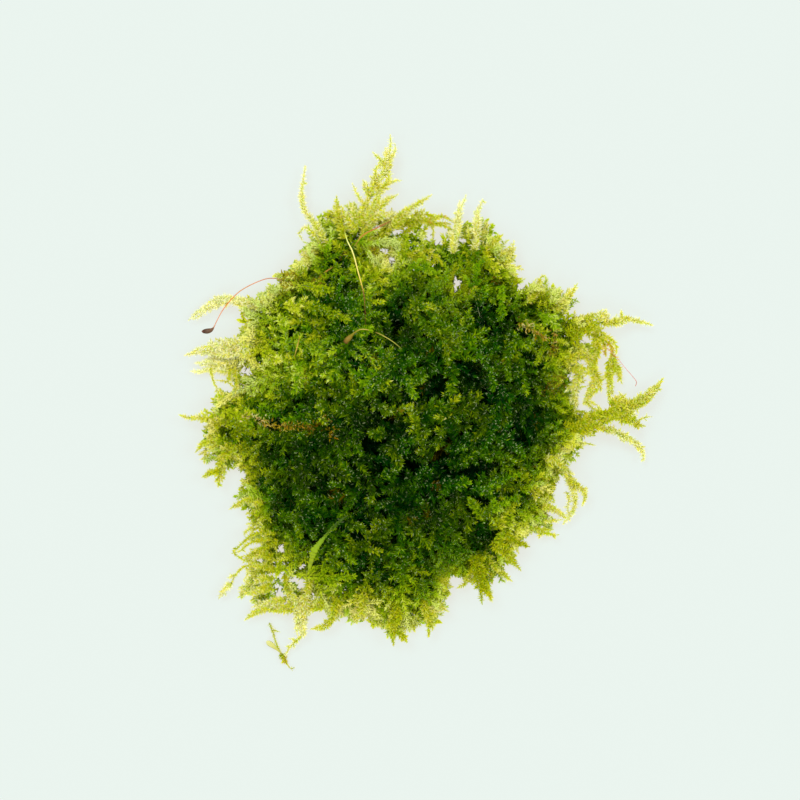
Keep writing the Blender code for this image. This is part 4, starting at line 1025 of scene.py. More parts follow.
freeShoots = {
    "shoot_north_tall": (0.3, [
        (3.6, 0.3, 0.1, [(-11.0, 30.5, 5), (-10.8, 36, 4.5), (-9.9, 40.5, 4.5), (-9, 43.6, 4.2),
                         (-7.6, 46.4, 4)]),
        (3.7, 0.5, 0.2, [(-9.2, 42.4, 4.4), (-7.9, 45.6, 4.2), (-6.5, 49.2, 3.8), (-6.1, 51.6, 3.6),
                         (-6.5, 54.0, 3.2)]),
        (1.2, 0.3, 0.2, [(-7.0, 47.6, 4), (-8.2, 49.2, 4.4), (-9.6, 50.5, 4.5)]),
        (1.1, 0.3, 0.2, [(-7.6, 43.6, 4.2), (-5.6, 44.6, 4.6), (-3.8, 44.9, 4.4)]),
        (1.6, 0.3, 0.2, [(-8.6, 39.0, 4.6), (-6.7, 40.8, 5.2), (-4.7, 42.1, 5)]),
        (2.0, 0.3, 0.15, [(-10.4, 36.4, 4.4), (-8, 37.6, 4.8), (-5.4, 38.6, 4.6)]),
        (1.7, 0.3, 0.15, [(-9.8, 41.4, 4.6), (-10.8, 43.2, 5), (-11.6, 44.8, 4.6)]),
        (1.1, 0.3, 0.25, [(-11.0, 39.6, 4.6), (-12.6, 41.8, 4.8), (-13.7, 44.2, 4.4)]),
        (2.4, 0.3, 0.1, [(-11.4, 35.6, 4.6), (-13.2, 38, 4.8), (-14.2, 40.6, 4.4)]),
        (2.2, 0.3, 0.1, [(-12.8, 34.4, 4.4), (-15.0, 37.2, 4.6), (-16.2, 39.6, 4.4)])]),
    "shoot_northwest_thin": (0.1, [
        (1.5, 0.2, 0.25, [(-18.5, 31.5, 4), (-21.5, 36.5, 3.5), (-23.5, 39, 3), (-24, 42, 2.5),
                          (-23.5, 48, 2)])]),
    "shoot_northwest_curl": (0.0, [
        (1.2, 0.2, 0.25, [(-20, 32, 3.2), (-21.9, 34.6, 4), (-23.2, 35.4, 4.4), (-24.4, 34.2, 4),
                          (-23.8, 32.8, 3.4)])]),
    "shoot_north_spike": (0.3, [(1.6, 0.3, 0.0, [(-15.5, 33, 4), (-16.5, 38, 4.5), (-17, 41.5, 5)])]),
    "shoot_north_arm": (0.3, [
        (1.5, 0.2, 0.14, [(-5.6, 35, 6), (-3.2, 38.2, 6.6), (-1, 39.8, 6.2), (2.1, 42, 5.5)]),
        (2.1, 0.3, -0.02, [(-5.2, 35.4, 6), (-3.4, 38.0, 6.4), (-1.8, 39.4, 6.4)])]),
    "shoot_north_pair_left": (0.3, [
        (2.3, 0.3, 0.3, [(6.5, 30, 5), (7.5, 36.5, 4.5), (8, 39.5, 4), (8.8, 42, 4)])]),
    "shoot_north_pair_right": (0.3, [
        (1.9, 0.2, 0.3, [(11, 30.5, 5), (11.5, 36, 4), (11.6, 39, 3.5), (12.2, 41.2, 3.5)])]),
    "shoot_north_arch": (0.3, [
        (3.0, 0.2, -0.05, [(-4.0, 35.4, 3), (0.0, 37.3, 3.4), (2.3, 36.9, 3.6), (4.4, 37.3, 3.6),
                           (6.8, 36.5, 3)]),
        (1.4, 0.3, 0.15, [(-0.6, 36.8, 3.6), (0.3, 38.2, 3.8), (0.8, 39.2, 3.8)]),
        (1.1, 0.1, -0.1, [(0.4, 34.4, 3.4), (1.8, 36.0, 3.8), (4.6, 35.8, 3.8), (7.4, 34.2, 3.4)]),
        (0.9, 0.1, 0.0, [(-0.6, 36.4, 3.2), (1.2, 37.0, 3.6), (2.6, 34.8, 3.6), (2.4, 32.8, 3.4)])]),
    "shoot_northeast_top": (0.4, [
        (1.5, 0.3, 0.0, [(12.8, 29.4, 5.4), (14.8, 31.8, 4.8), (16.4, 34.0, 4)])]),
    "shoot_northeast_red": (0.3, [
        (1.3, 0.3, 0.0, [(15.6, 28.0, 5.4), (17.5, 29.8, 4.8), (19.2, 31.4, 4)])]),
    "shoot_northeast_spike": (0.3, [
        (1.3, 0.3, 0.0, [(21.5, 20, 5), (23.5, 23.0, 5), (24.4, 25.8, 5)])]),
    "shoot_northeast_knob": (0.5, [(1.8, 0.3, 0.0, [(27, 18, 4.5), (29.5, 21, 4.5), (31.5, 24, 4)])]),
    "shoot_east_upper": (0.5, [
        (2.8, 0.25, -0.15, [(29.5, 13, 5), (33.5, 15.2, 4.5), (37.5, 16.3, 4)]),
        (1.4, 0.3, 0.2, [(36.4, 16, 4), (38.8, 16.2, 3.8), (41.2, 17.0, 3.4), (44.6, 16.5, 2.8),
                         (47.0, 15.8, 2.2)]),
        (2.4, 0.3, 0.3, [(36.3, 16.3, 4.3), (36.6, 17.6, 4.6), (37.2, 19, 4.6)]),
        (1.4, 0.2, 0.1, [(33, 16.4, 4.6), (34.6, 17.6, 4.6), (36, 18.2, 4.6)])]),
    "shoot_east_hook": (0.5, [
        (3.2, 0.0, 0.0, [(31, 17, 2), (34.4, 15.4, 1.6), (36.9, 13.4, 1.6), (38.5, 11.2, 2),
                         (38.9, 8.6, 2), (39.1, 6.6, 2)]),
        (2.0, 0.3, 0.0, [(38.8, 9.8, 2), (39.4, 7.6, 2), (40.3, 6.2, 1.8), (41.2, 4.2, 1.6)]),
        (2.0, 0.2, 0.05, [(38.7, 8.6, 2), (38.3, 6, 2.3), (38.4, 3.6, 2.4), (38.8, 0.2, 2.4)]),
        (1.0, 0.2, 0.0, [(38.4, 6.0, 2.3), (37.4, 5.2, 2.3), (36.8, 4.4, 2.2)])]),
    "shoot_east_loop": (0.5, [
        (2.4, 0.0, 0.09, [(35.5, 13.2, 3), (35.3, 10.6, 3.2), (34.7, 8.2, 3.2), (35.1, 6.2, 3),
                          (35.6, 3.8, 3), (34.3, 1.8, 3), (33.5, 0.2, 2.8), (35.1, -1.0, 2.6),
                          (36.7, -1.8, 2.6)]),
        (1.0, 0.0, 0.0, [(35.1, 6.8, 3.2), (36.1, 5.0, 3.2), (35.8, 3.0, 3.2)]),
        (2.2, 0.4, 0.0, [(28.5, 8.6, 4), (31.5, 9.6, 3.6), (33.6, 9.4, 3.4), (34.7, 8.0, 3.2)]),
        (2.0, 0.2, 0.1, [(31.0, 12, 3), (32.6, 10.6, 3.2), (34.8, 9.6, 3.2)]),
        (2.0, 0.2, 0.1, [(30.4, 7.0, 3), (32.4, 6.8, 3), (34.6, 6.0, 3)]),
        (1.8, 0.2, 0.2, [(32.4, 6.8, 2.6), (31.6, 4.6, 2.6), (31.3, 2.6, 2.4), (31.6, 0.2, 2.4),
                         (31.4, -2.2, 2.4)]),
        (1.0, 0.2, 0.05, [(29.6, 3.4, 2.4), (31.2, 3.0, 2.4), (33.8, 3.4, 2.6)]),
        (0.8, 0.2, 0.0, [(31.6, -1.6, 2.4), (34.2, -2.2, 2.4), (36, -2.4, 2.6)])]),
    "shoot_east_main": (0.7, [
        (3.4, 0.7, -0.09, [(29, -5.6, 5), (33.9, -4.5, 5), (36, -3.1, 4.8), (38.4, -2.0, 4.6),
                           (41, -1.2, 4.6), (43.9, 0.1, 4), (46, 1.4, 3.8), (47.7, 3.1, 3.6),
                           (49, 5.0, 3.4)]),
        (2.0, 0.8, 0.08, [(40.4, -1.2, 4.8), (43.6, 0.2, 4.3), (46.2, 1.9, 3.9), (48.2, 4.0, 3.5)]),
        (2.4, 0.3, 0.05, [(38.5, -1.0, 4.4), (40, 0.4, 4.6), (41.2, 1.8, 4.6)]),
        (1.9, 0.3, -0.1, [(38.6, -2.4, 4.6), (41.5, -3.2, 4.2), (43.2, -4, 3.8), (44.4, -4.5, 3.6),
                          (45.4, -4.6, 3.6)]),
        (0.8, 0.2, 0.2, [(43.6, -3.8, 3.8), (45.4, -2.9, 3.6), (46.9, -2.8, 3.4)]),
        (1.8, 0.2, 0.2, [(35.5, -4.6, 5), (38.4, -5.5, 4.2), (42, -7.1, 3.2), (44, -8.7, 2.4),
                         (45.2, -9.9, 2), (45.7, -11.6, 1.8)])]),
    "shoot_east_twig": (0.1, [(0.9, 0.3, 0.0, [(28.5, -8, 2.5), (31.5, -7.8, 2.4), (35.5, -8.6, 2)])]),
    "shoot_southeast_arch": (0.35, [
        (1.7, 0.2, 0.05, [(25, -11.2, 5), (26.9, -11.6, 5), (29.0, -13.1, 4.8), (29.8, -14.8, 4.6),
                          (30.5, -16.6, 4), (31.3, -19.2, 3.6), (31.0, -21.6, 3), (30.0, -23.4, 2.4),
                          (29.2, -24.6, 2)]),
        (1.3, 0.2, 0.0, [(30.0, -15.8, 4.5), (31.6, -16.6, 4.2), (33.0, -17.8, 4), (33.3, -19.4, 3.4),
                         (32.8, -20.8, 3)]),
        (0.9, 0.2, -0.1, [(27.9, -11.8, 4.6), (29.6, -13.3, 4.4), (30.2, -15.2, 4.4),
                          (30.4, -16.8, 4.2)]),
        (1.1, 0.2, 0.2, [(29.4, -17.8, 3.8), (30.0, -19.4, 3.6), (29.8, -21.4, 3), (30, -23, 2.6)]),
        (1.8, 0.2, 0.0, [(24.5, -21, 3), (26.8, -21.4, 3), (28.4, -22.3, 2.8), (29.9, -23.2, 2.6)]),
        (1.1, 0.2, 0.1, [(24.6, -24, 3), (26.9, -23.8, 2.8), (28.8, -23.6, 2.6)])]),
    "shoot_southeast_low": (0.4, [
        (2.2, 0.3, 0.0, [(19.5, -23.6, 3), (22.5, -25.2, 2.8), (25.4, -26, 2.4), (27.9, -26.4, 2)])]),
    "shoot_southeast_knob": (0.5, [
        (1.6, 0.3, -0.25, [(16, -25.5, 5.5), (18.8, -27.6, 5.5), (22, -28.8, 4.6)])]),
    "shoot_south_by_east_upper": (0.6, [
        (2.4, 0.2, -0.2, [(14.5, -27.5, 6), (18.2, -31, 5), (20.2, -33.8, 4)])]),
    "shoot_south_by_east_low": (0.3, [
        (1.4, 0.3, -0.1, [(12.5, -30, 3), (16, -34, 2.6), (18.5, -36, 2)])]),
    "shoot_south_by_east_long": (0.6, [
        (2.5, 0.1, -0.4, [(10.5, -30.5, 6), (12.3, -36, 5), (12.5, -40.5, 4)]),
        (1.6, 0.2, -0.2, [(12.4, -36.5, 4.9), (13.6, -38, 4.6), (14.6, -39.8, 4.4)])]),
    "shoot_south_twig": (0.1, [(1.4, 0.3, 0.0, [(11, -32, 2.6), (9.2, -36.4, 2.2), (7.6, -37.6, 2)])]),
    "shoot_south_tuft_right": (0.7, [
        (2.2, 0.3, 0.0, [(0, -38.5, 4.5), (1.8, -43.5, 4), (2.2, -47, 3.4)])]),
    "shoot_south_tuft_corner": (0.4, [(1.5, 0.3, 0.0, [(2, -38, 4), (4.2, -41, 4), (5.6, -42, 3.6)])]),
    "shoot_south_tuft": (0.7, [
        (2.4, 0.3, -0.15, [(-4.5, -39.5, 5), (-5.2, -45, 4.4), (-5.5, -49, 3.4)]),
        (1.6, 0.3, -0.15, [(-5.2, -45.3, 4.4), (-4, -46.8, 4.4), (-2.6, -48, 4)])]),
    "shoot_south_short": (0.5, [
        (1.8, 0.3, 0.0, [(-11, -38, 4.6), (-12.2, -42.2, 4), (-13.4, -44.6, 3.2)])]),
    "shoot_south_trailing": (0.2, [
        (3.2, 0.0, 0.15, [(-24.0, -38.5, 3.6), (-24.0, -41.5, 3.2), (-24.0, -44, 2.8),
                          (-23.6, -47.4, 2.4)]),
        (2.6, 0.0, 0.2, [(-24.1, -40.5, 3.2), (-24.2, -43.4, 2.8), (-23.9, -47.2, 2.4)]),
        (1.1, 0.5, 0.1, [(-23.1, -46.2, 2.4), (-25.0, -48.2, 1.9), (-26.3, -49.3, 1.5),
                         (-27.1, -50.7, 1.1), (-27.5, -51.7, 0.9)]),
        (1.5, 0.0, 0.0, [(-27.4, -34.4, 4), (-26.8, -37.4, 3.8), (-25.6, -40, 3.6), (-24.2, -42, 3.2)]),
        (1.6, 0.0, 0.0, [(-22.0, -35.4, 4), (-22.7, -38.2, 3.8), (-23.4, -41.4, 3.4)])]),
    "shoot_south_hook": (0.0, [
        (1.9, 0.0, 0.0, [(-16.2, -39.5, 4), (-18.0, -43.3, 3.5), (-19.2, -45.2, 3), (-20.6, -45.8, 3),
                         (-21.9, -46, 3)])]),
    "sprig_fallen": (0.1, [
        (0.7, 0.2, -0.1, [(-30.7, -44.6, 0.9), (-29.8, -47.0, 0.8), (-29.3, -48.8, 0.8),
                          (-28.3, -50.8, 0.8), (-27.6, -52.2, 0.8), (-26.8, -53.4, 0.8),
                          (-26.0, -54.4, 0.7)]),
        (1.5, 0.1, -0.2, [(-28.3, -50.8, 0.8), (-27.7, -51.9, 0.8), (-27.0, -53.0, 0.8)])]),
    "shoot_southwest_long": (0.4, [
        (2.4, 0.4, 0.0, [(-19, -40.4, 3), (-24, -41.2, 3), (-28, -41.4, 3), (-31.5, -41.8, 2.8),
                         (-34, -42.4, 2.4), (-35.6, -44, 2)]),
        (1.6, 0.3, 0.15, [(-27, -39.8, 3), (-31, -40.4, 3), (-34, -41.4, 2.6)])]),
    "shoot_southwest_short": (0.4, [
        (2.2, 0.3, 0.05, [(-29.5, -37, 3.4), (-32.5, -38, 3.4), (-35.4, -38.6, 3)]),
        (1.6, 0.3, 0.0, [(-29.4, -35.6, 3.4), (-31.8, -35.4, 3.4), (-33.6, -36.8, 3)])]),
    "shoot_southwest_thin": (0.1, [
        (0.9, 0.0, 0.1, [(-29.5, -33, 3), (-33, -33, 3), (-35.6, -33.1, 2.8), (-37.4, -34.8, 2.6),
                         (-38.2, -36.4, 2.2), (-39.9, -38.2, 1.8), (-40.9, -39.8, 1.6)]),
        (1.4, 0.3, 0.4, [(-38.2, -36.4, 2.2), (-39.6, -37.8, 2.2), (-40.7, -39.6, 1.7)]),
        (1.2, 0.3, 0.4, [(-37.4, -34.6, 2.6), (-38.2, -35.1, 2.6), (-39, -35.4, 2.4)]),
        (1.1, 0.3, 0.3, [(-35.2, -33.2, 2.8), (-34.9, -34.6, 2.6), (-35, -35.6, 2.4)])]),
    "shoot_southwest_loop": (0.25, [
        (1.0, 0.1, -0.12, [(-29, -26.4, 4.5), (-32.1, -26.0, 5), (-34.2, -26.8, 5), (-35.6, -28.0, 4.8),
                           (-36.8, -29.2, 4.6), (-37.7, -30.1, 4.4), (-36.7, -31.0, 4.2),
                           (-35.5, -31.8, 4.2), (-33.8, -32.6, 4)]),
        (1.1, 0.1, -0.05, [(-29.6, -27.4, 4.2), (-32, -27.6, 4.4), (-34.6, -28.4, 4.4),
                           (-36.2, -29.8, 4.4), (-37.4, -30.1, 4.4)]),
        (1.1, 0.1, 0.0, [(-31.5, -25.2, 4), (-34.1, -25.4, 4.2), (-35.5, -26.2, 4.2), (-35.4, -27, 4)]),
        (1.3, 0.1, -0.15, [(-28.6, -27.6, 4), (-31, -29.2, 4), (-33, -30, 4), (-34.4, -31, 4),
                           (-33.2, -33, 4)]),
        (1.6, 0.1, -0.1, [(-29.6, -31.6, 4), (-32.4, -30.4, 4), (-34.8, -31, 4), (-35.4, -32.2, 3.8)]),
        (1.5, 0.1, -0.1, [(-29, -33.6, 3.6), (-31.6, -33.2, 3.6), (-34.2, -33, 3.6)])]),
    "shoot_west_low": (0.5, [
        (1.8, 0.3, 0.0, [(-31.5, -20, 4), (-35.4, -19.8, 3.8), (-38.4, -21.6, 3)])]),
    "shoot_west_hanging": (0.5, [
        (2.3, 0.2, 0.0, [(-37.5, -8, 4.5), (-40.2, -12.5, 4), (-40.5, -17, 3)]),
        (1.3, 0.3, 0.0, [(-40.4, -14, 3.8), (-41.8, -13.9, 4), (-44, -15, 3.6)])]),
    "shoot_west_twig": (0.3, [(1.4, 0.3, 0.0, [(-40, -7.5, 3.6), (-43.4, -8, 4), (-45.2, -10, 3.8)])]),
    "shoot_west_long": (0.5, [
        (2.0, 0.3, 0.0, [(-37.5, -4, 5), (-41.5, -3.5, 4.5), (-45, -3, 4), (-47, -3.4, 3.5),
                         (-48.8, -2.6, 3.2)])]),
    "shoot_west_upper": (0.8, [
        (3.4, 0.7, 0.2, [(-33.5, 10, 5), (-39, 10.8, 4.6), (-43.5, 10.5, 4), (-47.5, 9.4, 3)]),
        (2.0, 0.3, 0.3, [(-38, 10.8, 4.5), (-40.6, 11.5, 4.8), (-42.8, 11.8, 4.6)])]),
    "shoot_west_pale": (0.7, [
        (3.0, 0.3, 0.4, [(-36, 7.6, 2), (-41.5, 7.2, 1.8), (-46.5, 6.4, 1.4)]),
        (2.6, 0.3, 0.35, [(-35.5, 9.2, 3), (-40, 9, 2.8), (-45.6, 8.2, 2.2)])]),
    "shoot_west_bridge": (0.1, [
        (0.9, 0.0, 0.1, [(-42.4, 7.2, 3.6), (-41.9, 4.8, 3.8), (-41.1, 3.0, 4), (-40.5, 1.2, 4.2)]),
        (1.0, 0.1, 0.0, [(-38.2, 7.2, 4.2), (-38.5, 5.6, 4.2), (-38.9, 4.4, 4.2), (-41.2, 4.6, 4)]),
        (1.1, 0.1, 0.0, [(-37.7, 7.2, 4.4), (-37.2, 5.4, 4.4), (-36.9, 3.8, 4.4), (-37.5, 1.4, 4.4)]),
        (0.8, 0.1, 0.1, [(-39.0, 4.4, 4.2), (-37.8, 3.4, 4.2), (-36.6, 2.6, 4.4)]),
        (2.0, 0.3, 0.0, [(-39.4, -1.0, 4.4), (-40.2, 1.0, 4.4), (-40.8, 2.8, 4.2)])]),
    "shoot_west_northwest": (0.4, [
        (2.5, 0.3, 0.35, [(-31.5, 19.5, 4), (-35.5, 20, 3.6), (-39.5, 21, 3), (-43.5, 19, 2.4),
                          (-47, 17, 1.8)])]),
}
freeGrowth = {
    "strand": 1.0,  # a stem wider than this and a bit is several strands side by side
    "bit": 0.2,
    "strandWider": 0.45,
    "room": 0.6,  # between the strands, as a share of what is left of the width
    "taperPower": 1.5,
    "sway": 0.3,
    "swayTurns": (0.6, 1.1),
    "phase": (0, 6),
    "weave": 0.25,  # up and down
    "weaveTurns": 0.9,
    "sideLength": (0.75, 0.95),
    "strandTaper": 0.4,
    "branchSpacing": 1.1,
    "branchFirst": 1.0,
    "branchLength": (3.0, 0.45),  # at most, and at most as a share of the stem's
    "branchFull": (0.4, 0.6),  # their share without any fullness, and how much more with it
    "branchAngle": 50.0,
    "branchKeep": (0.15, 0.8),
    "twigCurl": -0.1,
    "twigFollow": 0.3,
    "twigShortest": 0.8,
    "twigWidth": (0.6, 0.3),  # a share of the stem's, and more
    "twigPaler": 0.08,
    "stemRadius": 0.08,
    "stemRing": 0.8,
    "stemTone": 0.35,
    # leaves pressed to the stem and leaves that stand out: spacing, length as a share of the
    # shoot's width, slimness, how far they spread, and how much paler they are
    "leaves": [(0.145, 0.72, 0.42, 30.0, -0.12), (0.105, 0.79, 0.32, 60.0, 0.1)],
    "tone": (0.49, 0.3),  # at the root, and how much more at the tip
    "tintChance": 0.05,
    "toneChance": 0.06,
}
topTone = 0.99  # the palest column of the chart


def smoothPath(points, step=pathStep):  # points a step apart on the smooth curve through the given ones
    points = np.array(points, float)
    padded = np.concatenate([2 * points[:1] - points[1:2], points, 2 * points[-1:] - points[-2:-1]])
    fine = []
    for a, b, c, d in zip(padded, padded[1:], padded[2:], padded[3:]):
        t = np.linspace(0, 1, curveSteps + 1)[:-1, None]
        fine.append((2 * b + (c - a) * t + (2 * a - 5 * b + 4 * c - d) * t ** 2
                     + (3 * b - a - 3 * c + d) * t ** 3) / 2)
    fine = np.concatenate(fine + [points[-1:]])
    travel = np.concatenate([[0], np.cumsum(np.linalg.norm(np.diff(fine[:, :3], axis=0), axis=1))])
    goals = np.arange(0, travel[-1], step)
    return np.stack([np.interp(goals, travel, column) for column in fine.T], 1), travel[-1]


def stacked(curves):  # curves of several lengths as one block, each run on past its end
    most = max(len(curve) for curve in curves) + 2
    block = np.empty((len(curves), most, 3))
    for number, curve in enumerate(curves):
        block[number, :len(curve)] = curve
        onward = curve[-1] - curve[-2]
        extra = np.arange(1, most - len(curve) + 1)[:, None]
        block[number, len(curve):] = curve[-1] + extra * onward
    return block


def braid(stems):  # each stem as strands side by side that weave as they go
    strands = []
    for width, taper, pale, points in stems:
        path, long = smoothPath(points)
        part = np.linspace(0, 1, len(path))
        onward = unit(np.gradient(path, axis=0))
        side = unit(np.cross(onward, (0, 0, 1)))
        count = max(1, round(width / freeGrowth["strand"] + freeGrowth["bit"]))
        room = freeGrowth["room"] * max(width - freeGrowth["strand"], 0)
        room = room * (1 - taper * part ** freeGrowth["taperPower"])
        for number in range(count):
            place = (2 * number + 1) / count - 1
            turns = long * part * chance.uniform(*freeGrowth["swayTurns"])
            sway = place + freeGrowth["sway"] * np.sin(turns + chance.uniform(*freeGrowth["phase"]))
            strand = path + (room * sway)[:, None] * side
            turns = long * part * freeGrowth["weaveTurns"]
            weave = np.sin(turns + chance.uniform(*freeGrowth["phase"]))
            strand[:, 2] += freeGrowth["weave"] * weave * (count > 1)
            strand[:, 2] = np.maximum(strand[:, 2], clearance)
            run = long if number == count // 2 else long * chance.uniform(*freeGrowth["sideLength"])
            wide = min(width, freeGrowth["strand"] + freeGrowth["strandWider"])
            outer = 1.0 if number in (0, count - 1) else 0.0
            strands.append((strand, run, wide, freeGrowth["strandTaper"], pale, outer))
    return strands


def growFree(finish, pattern):
    triangles = 0
    for node, (fullness, stems) in freeShoots.items():
        strands = braid(stems)
        paths = stacked([strand[0] for strand in strands])
        length, width, taper, pale, outer = np.array([strand[1:] for strand in strands]).T
        longest, share = freeGrowth["branchLength"]
        bare, filled = freeGrowth["branchFull"]
        keep, keepMore = freeGrowth["branchKeep"]
        axis, place, turn, size, slope, side = branchOut(
            paths, length * outer, freeGrowth["branchSpacing"], freeGrowth["branchFirst"],
            np.minimum(longest, share * length) * (bare + filled * fullness),
            freeGrowth["branchAngle"], keep + keepMore * fullness)
        sets = [(paths, length, width, taper, pale)]
        if len(axis):
            twigs, size = growAxes(place, turn, size, 0.0, place[:, 2], 0.0, side * freeGrowth["twigCurl"],
                                   freeGrowth["twigFollow"], slope, anyReach)
            ofStem, more = freeGrowth["twigWidth"]
            sets.append((twigs, np.maximum(size, freeGrowth["twigShortest"]), width[axis] * ofStem + more,
                         taper[axis], pale[axis] + freeGrowth["twigPaler"]))
        parts = []
        tint = chance.normal(0, freeGrowth["tintChance"])
        atRoot, more = freeGrowth["tone"]
        for rows, run, wide, thin, light in sets:
            every = np.ones(len(run), bool)
            for pitch, share, slim, spread, paler in freeGrowth["leaves"]:
                leaves = leavesOn(rows, run, pitch, wide * share, slim, spread, thin)
                tones = atRoot + more * leaves["part"] + light[leaves["axis"]] + paler + tint
                tones = np.clip(tones + chance.normal(0, freeGrowth["toneChance"], len(tones)), 0, topTone)
                kinds = chance.integers(0, chart["greens"], len(tones))
                kinds = kindsOf(kinds, brownedAt(leaves["base"]))
                parts.append(leafMesh(leaves, every[leaves["axis"]], tones, kinds, pattern))
            parts.append(stemMesh(rows, run, every, np.full(len(run), freeGrowth["stemRadius"]),
                                  freeGrowth["stemRing"], np.full(len(run), freeGrowth["stemTone"])))
        piece = makePiece(pieceName(node), parts, finish)
        settle(piece, node)
        triangles += len(piece.data.polygons)
    print("free shoots grown:", len(freeShoots), "with", triangles, "triangles")


# Spore stalks, bare stems and the blade: where each goes from root to tip, and half its width

# "sunk" is how deep its root end and its far end go down between the leaves, "dip" is where along it,
# and how deep, it passes under them, "lower" is how far all of it lies in them, and "flat" is its
# thickness as a share of its width. The colours go from root to tip.
stalks = {
    "sporophyte_dark_capsule": {
        "finish": "spore stalk with ripe capsule", "slot": "seta_orange", "sunk": (1.6, 0.0),
        "route": [(-27.6, 24.4, 0.09), (-29.2, 24.8, 0.09), (-31.6, 24.4, 0.09), (-36, 22.2, 0.09),
                  (-39.1, 19, 0.09), (-40.7, 16.4, 0.09), (-41.3, 15.2, 0.13), (-41.7, 14.7, 0.32),
                  (-42.1, 14.5, 0.46), (-42.6, 14.38, 0.52), (-43.1, 14.34, 0.47), (-43.3, 14.32, 0.4),
                  (-43.36, 14.32, 0.44), (-43.44, 14.32, 0.38), (-43.6, 14.32, 0.25),
                  (-43.75, 14.32, 0.12), (-43.8, 14.32, 0.03)],
        "colours": [(0.0, "#8A6A38"), (0.2, "#C07A58"), (0.42, "#C07A3A"), (0.6, "#CC6A26"),
                    (0.78, "#CE8E6A"), (0.855, "#B47E60"), (0.875, "#6A4A32"), (0.93, "#574030"),
                    (0.965, "#40291C"), (1.0, "#7A4434")],
    },
    "sporophyte_pale_capsule": {
        "finish": "spore stalk with emptied capsule", "slot": "seta_straw", "sunk": (0.8, 0.0),
        "dip": (0.48, 2.4), "lower": 0.7,
        "route": [(-3.4, 10.4, 0.08), (-6, 12.4, 0.09), (-9, 14, 0.09), (-11.5, 14.5, 0.1),
                  (-13, 13.9, 0.13), (-13.5, 13.4, 0.26), (-13.9, 13.0, 0.46), (-14.3, 12.6, 0.54),
                  (-14.65, 12.2, 0.5), (-14.77, 12.05, 0.54), (-14.9, 11.9, 0.4), (-14.92, 11.88, 0.05)],
        "colours": [(0.0, "#6F7C24"), (0.25, "#9C9A3A"), (0.6, "#B5A048"), (0.74, "#988A2A"),
                    (0.82, "#7E761C"), (0.93, "#746018"), (1.0, "#4E3210")],
    },
    "seta_straw": {
        "finish": "straw-coloured spore stalk", "slot": "seta_straw", "sunk": (0.3, 0.6), "lower": 0.3,
        "route": [(-15.2, 34.3, 0.08), (-14.6, 32.4, 0.12), (-13.5, 30, 0.13), (-12.4, 26, 0.13),
                  (-11.3, 21.8, 0.11), (-11.0, 18.5, 0.06), (-10.95, 15.6, 0.05)],
        "colours": [(0.0, "#A9BE3A"), (0.12, "#D6DA7C"), (0.4, "#DDCE6C"), (0.62, "#C9B244"),
                    (0.7, "#7A5A1C"), (1.0, "#5E4418")],
    },
    "seta_red_thin": {
        "finish": "thin red spore stalk", "slot": "seta_orange", "sunk": (2.6, 0.0),
        "route": [(37.6, 11.0, 0.05), (39, 9.6, 0.05), (41, 7.2, 0.055), (42.8, 5.2, 0.06),
                  (43.5, 4.2, 0.07), (43.3, 3.4, 0.07)],
        "colours": [(0.0, "#B57A6A"), (0.5, "#CF8E88"), (1.0, "#B4705E")],
    },
    "stem_brown_north": {
        "finish": "bare brown moss stem", "slot": "dead_stem", "sunk": (0.9, 0.0),
        "route": [(-13.2, 31.4, 0.08), (-11.5, 33.5, 0.12), (-8.5, 35.2, 0.11), (-6, 36.6, 0.07)],
        "colours": [(0.0, "#8A7A20"), (0.35, "#B4742C"), (0.7, "#AC6236"), (1.0, "#7E3E30")],
    },
    "stem_brown_northwest": {
        "finish": "bare rusty moss stem", "slot": "dead_stem", "sunk": (0.5, 0.6), "lower": 0.7,
        "route": [(-20.7, 24.8, 0.08), (-19.3, 26.1, 0.17), (-18.0, 27.0, 0.12), (-17.0, 27.6, 0.05)],
        "colours": [(0.0, "#7E6424"), (0.4, "#A8782C"), (1.0, "#7A7018")],
    },
    "sprig_fallen": {
        "name": "sprigLeaf", "finish": "pale leaf of the fallen sprig", "slot": "moss_shoot",
        "sunk": (0.0, 0.0), "flat": 0.3, "lower": -0.1,
        "route": [(-28.2, -50.9, 0.14), (-28.9, -50.2, 0.22), (-29.5, -49.7, 0.36), (-30.1, -49.2, 0.5),
                  (-30.7, -48.8, 0.54), (-31.1, -48.5, 0.3), (-31.25, -48.4, 0.04)],
        "colours": [(0.0, "#9A9830"), (0.5, "#AEAE58"), (1.0, "#BCBC78")],
    },
    "blade_bare_green": {
        "finish": "waxy green blade", "slot": "green_blade", "sunk": (0.9, 1.2), "flat": 0.25,
        "lower": -0.3, "ragged": 0.25,
        "route": [(-14.6, -22.2, 0.1), (-16.4, -23.7, 0.32), (-18, -25.3, 0.26), (-19.3, -26.8, 0.4),
                  (-20.4, -28.2, 0.58), (-21.2, -29.4, 0.62), (-21.5, -30.6, 0.46), (-21.8, -31.6, 0.4),
                  (-22.1, -32.6, 0.28), (-22.3, -33.4, 0.05)],
        "colours": [(0.0, "#2A4202"), (0.2, "#3A5A04"), (0.4, "#5C7C06"), (0.6, "#748E04"),
                    (0.8, "#849608"), (1.0, "#7C9010")],
    },
    "moss_mat": {  # a bare golden stem of the mat itself
        "name": "matBareStem", "finish": "bare golden moss stem", "slot": "moss_mat",
        "sunk": (0.3, 0.3), "lower": -0.9,
        "route": [(-24.0, 13.2, 0.06), (-24.3, 11.8, 0.1), (-24.7, 10.4, 0.1), (-25.0, 9.2, 0.07)],
        "colours": [(0.0, "#8A701C"), (0.5, "#B4963A"), (1.0, "#7A7420")],
    },
}
stalkShape = {
    "step": 0.16,
    "rootPart": 0.3,  # of its length, over which the root end sinks, and the far end
    "endPart": 0.2,
    "dipPart": 0.09,
    "thinnest": 0.02,
    "overMat": 0.7,  # where no solid is under it
}
